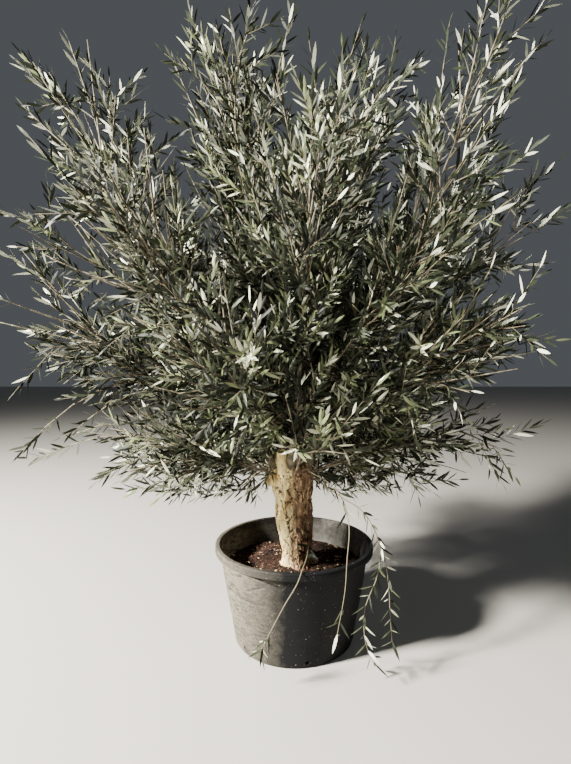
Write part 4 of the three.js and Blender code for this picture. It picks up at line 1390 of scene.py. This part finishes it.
def finer_twigs(shoot, room):
    """Twigs between the first ones: by turns side twigs, and twigs that climb beside their stem."""
    tier = shoot["tier"]
    shares = mix(shoot["from"], 1, STEM_FINER)
    on_stem = sprays_along(shoot, shoot["line"], shares, FINER_DRAW, room, GROWTH["side"])
    count = round(tier["finer"] * fullness(shoot))
    kinds = (("side", (FINER_FROM, tier["finer_to"])), ("climbing", CLIMBING_LEVELS))
    plans = []
    for k in range(count):
        kind, levels = kinds[k % 2]
        plans.append((tier["twigs"] + k, mix(*levels, (k + 0.5) / count), kind))
    twigs, sprays = leafy_twigs(shoot, plans, FINER_DRAW, room)
    return twigs, gathered([on_stem] + sprays)


def heart_twigs(shoot, room):
    """Leafy twigs that leave a bough all round it, below its mass, each as long as it has room."""
    tier, line, growth = shoot["tier"], shoot["line"], GROWTH["side"]
    twigs, sprays = [], []
    for k, place in enumerate(HEART_SHARES if tier["joint"] else ()):
        share = tier["joint"] * place
        along = line_way(line, np.array([share]))
        turn = k * GOLDEN_TURN + FULL_TURN * chance(shoot["seed"], DRAW["heart_turn"])
        way = tilted(along, sideways(along, turn), HEART["tilt"])[0]
        start = line_at(line, share)
        for scale in growth["tries"]:
            reach = tier["spread"] * HEART["spread"] * scale
            end = start + way * reach + UP * HEART["rise"] * reach
            twig = np.array([start, start + way * reach / 2, end])
            if has_room(line_at(twig, TWIG_TESTED), room).all():
                break
        else:
            continue
        draw = 2 * FINER_DRAW + DRAW["each_twig"] * (k + 1)
        twigs.append(twig)
        sprays.append(sprays_along(shoot, twig, growth["shoots"], draw, room, growth))
        sprays.append(end_spray(twig, *growth["leafy"][0]))
    return twigs, sprays


def loose_shoots(shoot):
    """Sparse shoots that leave a stem and arch to their tips, with leaves in two stretches."""
    twigs, sprays = [], []
    for share, *tip in LOOSE_SHOOTS.get((shoot["kind"], shoot["number"]), ()):
        start, tip = line_at(shoot["line"], share), np.array(tip)
        rise = UP * LOOSE_RISE[shoot["kind"]] * np.linalg.norm(tip - start)
        line = np.array([start, mix(start, tip, LOOSE_BEND) + rise, tip])
        twigs.append(line)
        sprays += [end_spray(line, *LOOSE_LEAVES_FROM), end_spray(line, LOOSE_LEAVES_FROM[1])]
    return twigs, sprays


def closeness(sprays, tip):
    """How near each leafy shoot is to the tip of its mass: 1 there, 0 out of reach."""
    return 1 - np.clip(np.linalg.norm(sprays["root"] - tip, axis=1) / AIRY["reach"], 0, 1)


def in_opening(points):
    """Whether each point stands in an opening: its slopes x / y and z / y from the camera lie in a
    slanted oval."""
    away = points - CAMERA_PLACE
    across, up = away[:, 0] / away[:, 1], away[:, 2] / away[:, 1]
    inside = np.zeros(len(points), bool)
    for middle, height, half_width, half_height, lean in OPENINGS:
        rise = up - height
        side = across - middle - lean * rise
        inside |= (side / half_width) ** 2 + (rise / half_height) ** 2 < 1
    return inside


def grow_mass(shoot, rooms):
    """One mass: the solids' twigs and leafy shoots, and side shoots on them and finer ones between,
    thinned towards the tip and left out where sky shows through."""
    own_room = (shoot["own"], *rooms)
    twigs, first = first_twigs(shoot, own_room)
    more_twigs, finer = finer_twigs(shoot, own_room)
    inner_twigs, inner = heart_twigs(shoot, (None, *rooms))
    loose_twigs, loose = loose_shoots(shoot)
    tip = shoot["line"][2]
    more = gathered([side_shoots(first, tip), finer] + inner)
    number = np.arange(len(more["length"])) + 1000 * shoot["seed"]
    share_kept = fullness(shoot) * (1 - AIRY["thinner"] * closeness(more, tip))
    kept = chance(number, LEAF_DRAW["kept"]) < share_kept
    for share in OPENING_TESTED:
        kept &= ~in_opening(more["root"] + more["way"] * (more["length"] * share)[:, None])
    more = {key: values[kept] for key, values in more.items()}
    twigs += [twig for twig in more_twigs + inner_twigs if not in_opening(twig[2:])[0]]
    sprays = gathered([first, more] + loose)
    sprays["airy"] = closeness(sprays, tip)
    sprays["airy"][len(sprays["airy"]) - len(loose):] = 1
    return np.array(twigs + loose_twigs), sprays


# Twigs and leaves

def spray_at(sprays, owner, share):
    """Points along leafy shoots: root + way s, bent up by lift times the length times share^2."""
    length = sprays["length"][owner]
    rise = sprays["lift"][owner] * length * share ** 2
    return sprays["root"][owner] + sprays["way"][owner] * (length * share)[..., None] + UP * rise[..., None]


def spray_way(sprays, owner, share):
    """The leafy shoots' directions: way + 2 lift share up."""
    return unit(sprays["way"][owner] + UP * (2 * sprays["lift"][owner] * share)[..., None])


def spray_limbs(sprays):
    """The thin stems of leafy shoots."""
    count, rows = len(sprays["length"]), 3
    owner = np.repeat(np.arange(count), rows)
    share = np.tile(np.linspace(0, TWIG_REACH, rows), count)
    paths = spray_at(sprays, owner, share).reshape(count, rows, 3)
    radii = mix(*SHOOT_GIRTH, np.linspace(0, 1, rows))
    return limbs(paths, np.broadcast_to(radii, (count, rows)), 3)


def leaf_surfaces(root, way, above, length, width, curl):
    """Lance-shaped leaves of seven corners: root, two margin corners at 0.3 and two at 0.68 of the
    length, tip, and the midrib's middle, which stands a ridge above them. The leaf curls down by
    curl times share^2."""
    shares = np.array([0.0, 0.3, 0.3, 0.68, 0.68, 1.0, 0.47])
    sides = np.array([0.0, -0.94, 0.94, -0.84, 0.84, 0.0, 0.0]) / 2
    rises = np.array([0.0, 0.0, 0.0, 0.0, 0.0, 0.0, 1.0]) * LEAF_RIDGE
    along = length[:, None] * shares
    lift = rises - length[:, None] * curl[:, None] * shares ** 2
    corners = root[:, None] + way[:, None] * along[..., None] + above[:, None] * lift[..., None]
    corners = corners + np.cross(way, above)[:, None] * (width[:, None] * sides)[..., None]
    upper = [[0, 2, 6], [2, 4, 6], [4, 5, 6], [5, 3, 6], [3, 1, 6], [1, 0, 6]]
    lower = [[0, 1, 2], [1, 3, 4], [1, 4, 2], [3, 5, 4]]
    return corners.reshape(-1, 3), repeated(np.array(upper + lower), len(root), 7)


def leaf_kinds(spray_number, leaf_number, paler=0.0):
    """The finish of each leaf's faces: its spray's upper tone, changed on some leaves, and an
    underside tone."""
    draw = SPRAY_TONE * chance(spray_number, LEAF_DRAW["spray_tone"])
    draw = paler + draw + (1 - SPRAY_TONE) * chance(leaf_number, LEAF_DRAW["leaf_tone"])
    upper = np.digitize(draw, UPPER_SHARES)
    under = len(LEAF_UPPERS) + (chance(leaf_number, LEAF_DRAW["under"]) > DARK_UNDERS)
    return np.concatenate([np.repeat(upper[:, None], 6, 1), np.repeat(under[:, None], 4, 1)], 1).ravel()


def leaf_ways(root, along, turn, tilt, number):
    """The way of each leaf, and the way that its upper side looks: up its shoot, and out of the crown
    where the leaf stands beside its shoot, rolled a little to either side."""
    side = sideways(along, turn)
    way = tilted(along, side, tilt)
    outwards = unit((root - np.append(HEAD_CENTRE, 0)) * (1, 1, 0))
    beside = 1 - np.abs(np.sum(side * outwards, -1, keepdims=True))
    looks = along + LEAF_TURNED * beside * outwards
    above = unit(looks - way * np.sum(looks * way, -1, keepdims=True))
    return way, tilted(above, np.cross(way, above), swing(number, LEAF_DRAW["roll"], LEAF_ROLL))


def leaves_at(root, along, turn, tilt, size, number, habit):
    """Leaves at points of their shoots, turned about them and tilted from them, of seeded curl."""
    way, above = leaf_ways(root, along, turn, tilt, number)
    curl = habit["curl"][0] + habit["curl"][1] * chance(number, LEAF_DRAW["curl"])
    width = LEAF_WIDTH * mix(1, size, habit["width"])
    return leaf_surfaces(root, way, above, LEAF_LENGTH * size, width, curl)


def leaves_of(sprays, offset):
    """Opposite pairs of leaves along each leafy shoot, each pair turned a quarter from the last, and
    one leaf at the tip. Leaves lean less and less from the shoot towards its tip."""
    length, airy = sprays["length"], sprays["airy"]
    step = PAIR_STEP * (1 + AIRY["wider"] * airy)
    pairs = np.floor((length * (1 - BARE_SHARE) - LEAFLESS_END) / step).astype(int).clip(1)
    owner = np.repeat(np.arange(len(length)), pairs)
    order = np.arange(pairs.sum()) - np.repeat(np.cumsum(pairs) - pairs, pairs)
    share = BARE_SHARE + order * step[owner] / length[owner]
    quarter = order * np.pi / 2
    owner = np.concatenate([owner, owner, np.arange(len(length))])
    share = np.concatenate([share, share, np.full(len(length), TIP_LEAF["share"])])
    quarter = np.concatenate([quarter, quarter + np.pi, np.zeros(len(length))])
    at_tip = np.arange(len(owner)) >= len(owner) - len(length)
    number = np.arange(len(owner)) + offset
    turn = quarter + FULL_TURN * chance(owner + offset, LEAF_DRAW["turn"])
    turn = turn + swing(number, LEAF_DRAW["sway"], LEAF_SWAY["turn"])
    tilt = mix(*LEAF_TILTS, share) + swing(number, LEAF_DRAW["tilt"], LEAF_SWAY["tilt"])
    tilt = np.where(at_tip, TIP_LEAF["tilt"], tilt)
    size = LEAF_SIZES[0] + LEAF_SIZES[1] * np.sin(np.pi * np.clip(share, 0, 1))
    size = size * swayed(number, LEAF_DRAW["size"], LEAF_SWAY["size"]) * (1 + AIRY["larger"] * airy[owner])
    root, along = spray_at(sprays, owner, share), spray_way(sprays, owner, share)
    corners, faces = leaves_at(root, along, turn, tilt, size, number, LEAF_HABIT)
    return corners, faces, leaf_kinds(owner + offset, number)


def make_boughs(shoots, bark):
    """Every bough as one tapering limb with a flared foot and uneven bark."""
    rows, sides = 32, 14
    carried = [shoot for shoot in shoots if shoot["tier"]["joint"]]
    share = np.linspace(0, 1, rows)
    paths, radii = [], []
    for shoot in carried:
        tier = shoot["tier"]
        path = line_at(shoot["line"], share * (tier["joint"] + BOUGH_PAST))
        reach = np.linalg.norm(path - path[0], axis=1)
        paths.append(path)
        flare = 1 + BOUGH_FLARE["out"] * np.exp(-reach / BOUGH_FLARE["fade"])
        radii.append(mix(*tier["girth"], share) * flare)
    counted = (np.arange(len(carried)), share, np.arange(sides) / sides)
    number, along, turn = np.meshgrid(*counted, indexing="ij")
    relief = 1.0
    for depth, cells, rise, shift, seed in BOUGH_BARK:
        rough = lattice_noise(turn * cells, along * rise + shift * number, cells, seed)
        relief = relief + depth * (rough - 0.5)
    corners, faces = limbs(np.array(paths), np.array(radii), sides, relief)
    boughs = make_piece("boughs", corners, faces, [bark], "young_bark")
    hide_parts(*(f"{shoot['kind']}_bough_{shoot['number']}" for shoot in carried))


def stem_limbs(shoots):
    """The stems that go on from the boughs' tips through their masses."""
    rows = 26
    share = np.linspace(0, 1, rows)
    paths, radii = [], []
    for shoot in shoots:
        begin = max(0.0, shoot["from"] - STEM_REACH["back"])
        paths.append(line_at(shoot["line"], mix(begin, STEM_REACH["to"], share)))
        radii.append(mix(shoot["tier"]["girth"][1], STEM_END * ENDS_THINNER, share ** 0.8))
    return limbs(np.array(paths), np.array(radii), 8)


def twig_limbs(twigs):
    """Side twigs that thin evenly to their tips."""
    share = np.linspace(0, TWIG_REACH, 6)
    paths = np.stack([line_at(twig, share) for twig in twigs])
    radii = mix(TWIG_GIRTH[0], TWIG_GIRTH[1] * ENDS_THINNER, share)
    return limbs(paths, np.broadcast_to(radii, paths.shape[:2]), 4)


def make_leaves(name, shoots, sprays, offset, leaf_tones):
    """The leaves of a few masses as one piece in their place."""
    corners, faces, kinds = leaves_of(sprays, offset)
    leaves = make_piece(name, corners, faces, leaf_tones, "foliage", kinds, smooth=False)
    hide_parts(*(f"{shoot['kind']}_foliage_{shoot['number']}" for shoot in shoots))


def make_crown(young, leaf_tones, shoot_finish):
    """Boughs, twigs and leaves of the whole crown, the leaves of each tier in two halves."""
    shoots = all_shoots()
    rooms = crown_rooms(shoots)
    make_boughs(shoots, young)
    all_twigs, all_sprays = [], []
    offset = 0
    for kind in TIERS:
        tier_shoots = [shoot for shoot in shoots if shoot["kind"] == kind]
        middle = len(tier_shoots) // 2
        for half, group in enumerate((tier_shoots[:middle], tier_shoots[middle:])):
            grown = [grow_mass(shoot, rooms) for shoot in group]
            sprays = gathered([sprays for _, sprays in grown])
            lift = mix(*LIFTED, chance(np.arange(len(sprays["length"])) + offset, LEAF_DRAW["lift"]))
            sprays["lift"] = lift * (1 - sprays["way"][:, 2].clip(0, 1))
            make_leaves(f"{kind}_leaves_{half + 1}", group, sprays, offset, leaf_tones)
            all_twigs += [twigs for twigs, _ in grown]
            all_sprays.append(sprays)
            offset += SPRAYS_TO_A_PIECE
    stems = joined([stem_limbs(shoots), twig_limbs(np.concatenate(all_twigs))])
    make_piece("stems_and_twigs", *stems, [young], "foliage")
    make_piece("leafy_shoot_stems", *spray_limbs(gathered(all_sprays)), [shoot_finish], "foliage")


def hanging_pairs():
    """Where the leaves of the hanging shoots stand, in opposite pairs: root, way along the shoot, turn
    about it and size."""
    leaves = []
    step = 0.01
    for shoot in HANGING.values():
        for begin, end, count in shoot["pairs"]:
            place = np.linspace(begin, end, count)
            ahead = np.minimum(place + step, 1)
            way = unit(threaded(shoot["path"], ahead) - threaded(shoot["path"], ahead - 2 * step))
            turn = np.arange(count) * np.pi / 2 + FULL_TURN * chance(shoot["seed"], DRAW["hanging_turn"])
            size = chance(shoot["seed"] + np.arange(count), DRAW["hanging_size"])
            size = HANGING_LEAVES["size"][0] + HANGING_LEAVES["size"][1] * size
            leaves += [(threaded(shoot["path"], place), way, turn + half, size) for half in (0, np.pi)]
    return [np.concatenate(values) for values in zip(*leaves)]


def make_hanging(leaf_tones, shoot_finish):
    """The loose shoots that hang in front of the pot, and their leaves."""
    share = np.linspace(0, 1, 60)
    paths = np.stack([threaded(shoot["path"], share) for shoot in HANGING.values()])
    radii = np.stack([mix(*shoot["radius"], share) for shoot in HANGING.values()])
    stems = make_piece("hanging_stems", *limbs(paths, radii, 7), [shoot_finish], "hanging_shoots")
    root, along, turn, size = hanging_pairs()
    number = np.arange(len(root)) + HANGING_LEAVES["first_number"]
    turn = turn + swing(number, LEAF_DRAW["sway"], HANGING_LEAVES["turn"])
    tilt, tilt_sway = HANGING_LEAVES["tilt"]
    tilt = tilt + swing(number, LEAF_DRAW["tilt"], tilt_sway)
    corners, faces = leaves_at(root, along, turn, tilt, size, number, HANGING_LEAVES)
    kinds = leaf_kinds(number // HANGING_LEAVES["to_a_tone"], number, HANGING_PALER)
    make_piece("hanging_leaves", corners, faces, leaf_tones, "hanging_shoots", kinds, smooth=False)
    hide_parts(*(f"hanging_shoot_{name}" for name in HANGING_SOLIDS))


# The studio

def make_floor():
    """A wide pale floor."""
    mesh = bpy.data.meshes.new("floor")
    corners = [(x * FLOOR_HALF, y * FLOOR_HALF, 0) for x, y in ((-1, -1), (1, -1), (1, 1), (-1, 1))]
    mesh.from_pydata(corners, [], [(0, 1, 2, 3)])
    mesh.materials.append(new_finish("pale_floor", 0xA8A59F, 0.9, 0.2))
    floor = placed("floor", mesh)


def add_light(name, place, size, power, tint):
    """A square soft light at a place, turned to the plant."""
    lamp = bpy.data.lights.new(name, "AREA")
    lamp.size = size
    lamp.energy = power
    lamp.color = tint
    light = placed(name, lamp)
    way = np.array(LIGHT_TARGET) - np.array(place)
    light.location = place
    light.rotation_euler = (
        np.arctan2(np.hypot(way[0], way[1]), -way[2]), 0, np.arctan2(way[1], way[0]) - np.pi / 2,
    )


def make_studio():
    """A level camera in front, a warm key light from the left and soft light all round."""
    lens = bpy.data.cameras.new("camera")
    lens.lens = CAMERA_LENS
    lens.sensor_width = CAMERA_SENSOR
    camera = placed("camera", lens)
    camera.location = CAMERA_PLACE
    camera.rotation_euler = (np.pi / 2, 0, 0)
    bpy.context.scene.camera = camera
    for name, light in LIGHTS.items():
        add_light(name, *light)
    world = bpy.data.worlds.new("studio")
    world.use_nodes = True
    background = world.node_tree.nodes["Background"]
    background.inputs["Color"].default_value = SKY["tint"]
    background.inputs["Strength"].default_value = SKY["strength"]
    bpy.context.scene.world = world


make_studio()
make_floor()
plastic = tub_plastic()
bark = old_bark()
young = young_bark()
leaf_tones = leaf_finishes()
shoot_finish = new_finish("grey_green_shoot", 0x665F49, 0.75, 0.3)
make_pot(plastic)
make_mould_marks(plastic)
make_soil(potting_soil())
make_chips()
make_trunk(bark)
make_stubs(bark, cut_wood())
make_crown(young, leaf_tones, shoot_finish)
make_hanging(leaf_tones, shoot_finish)
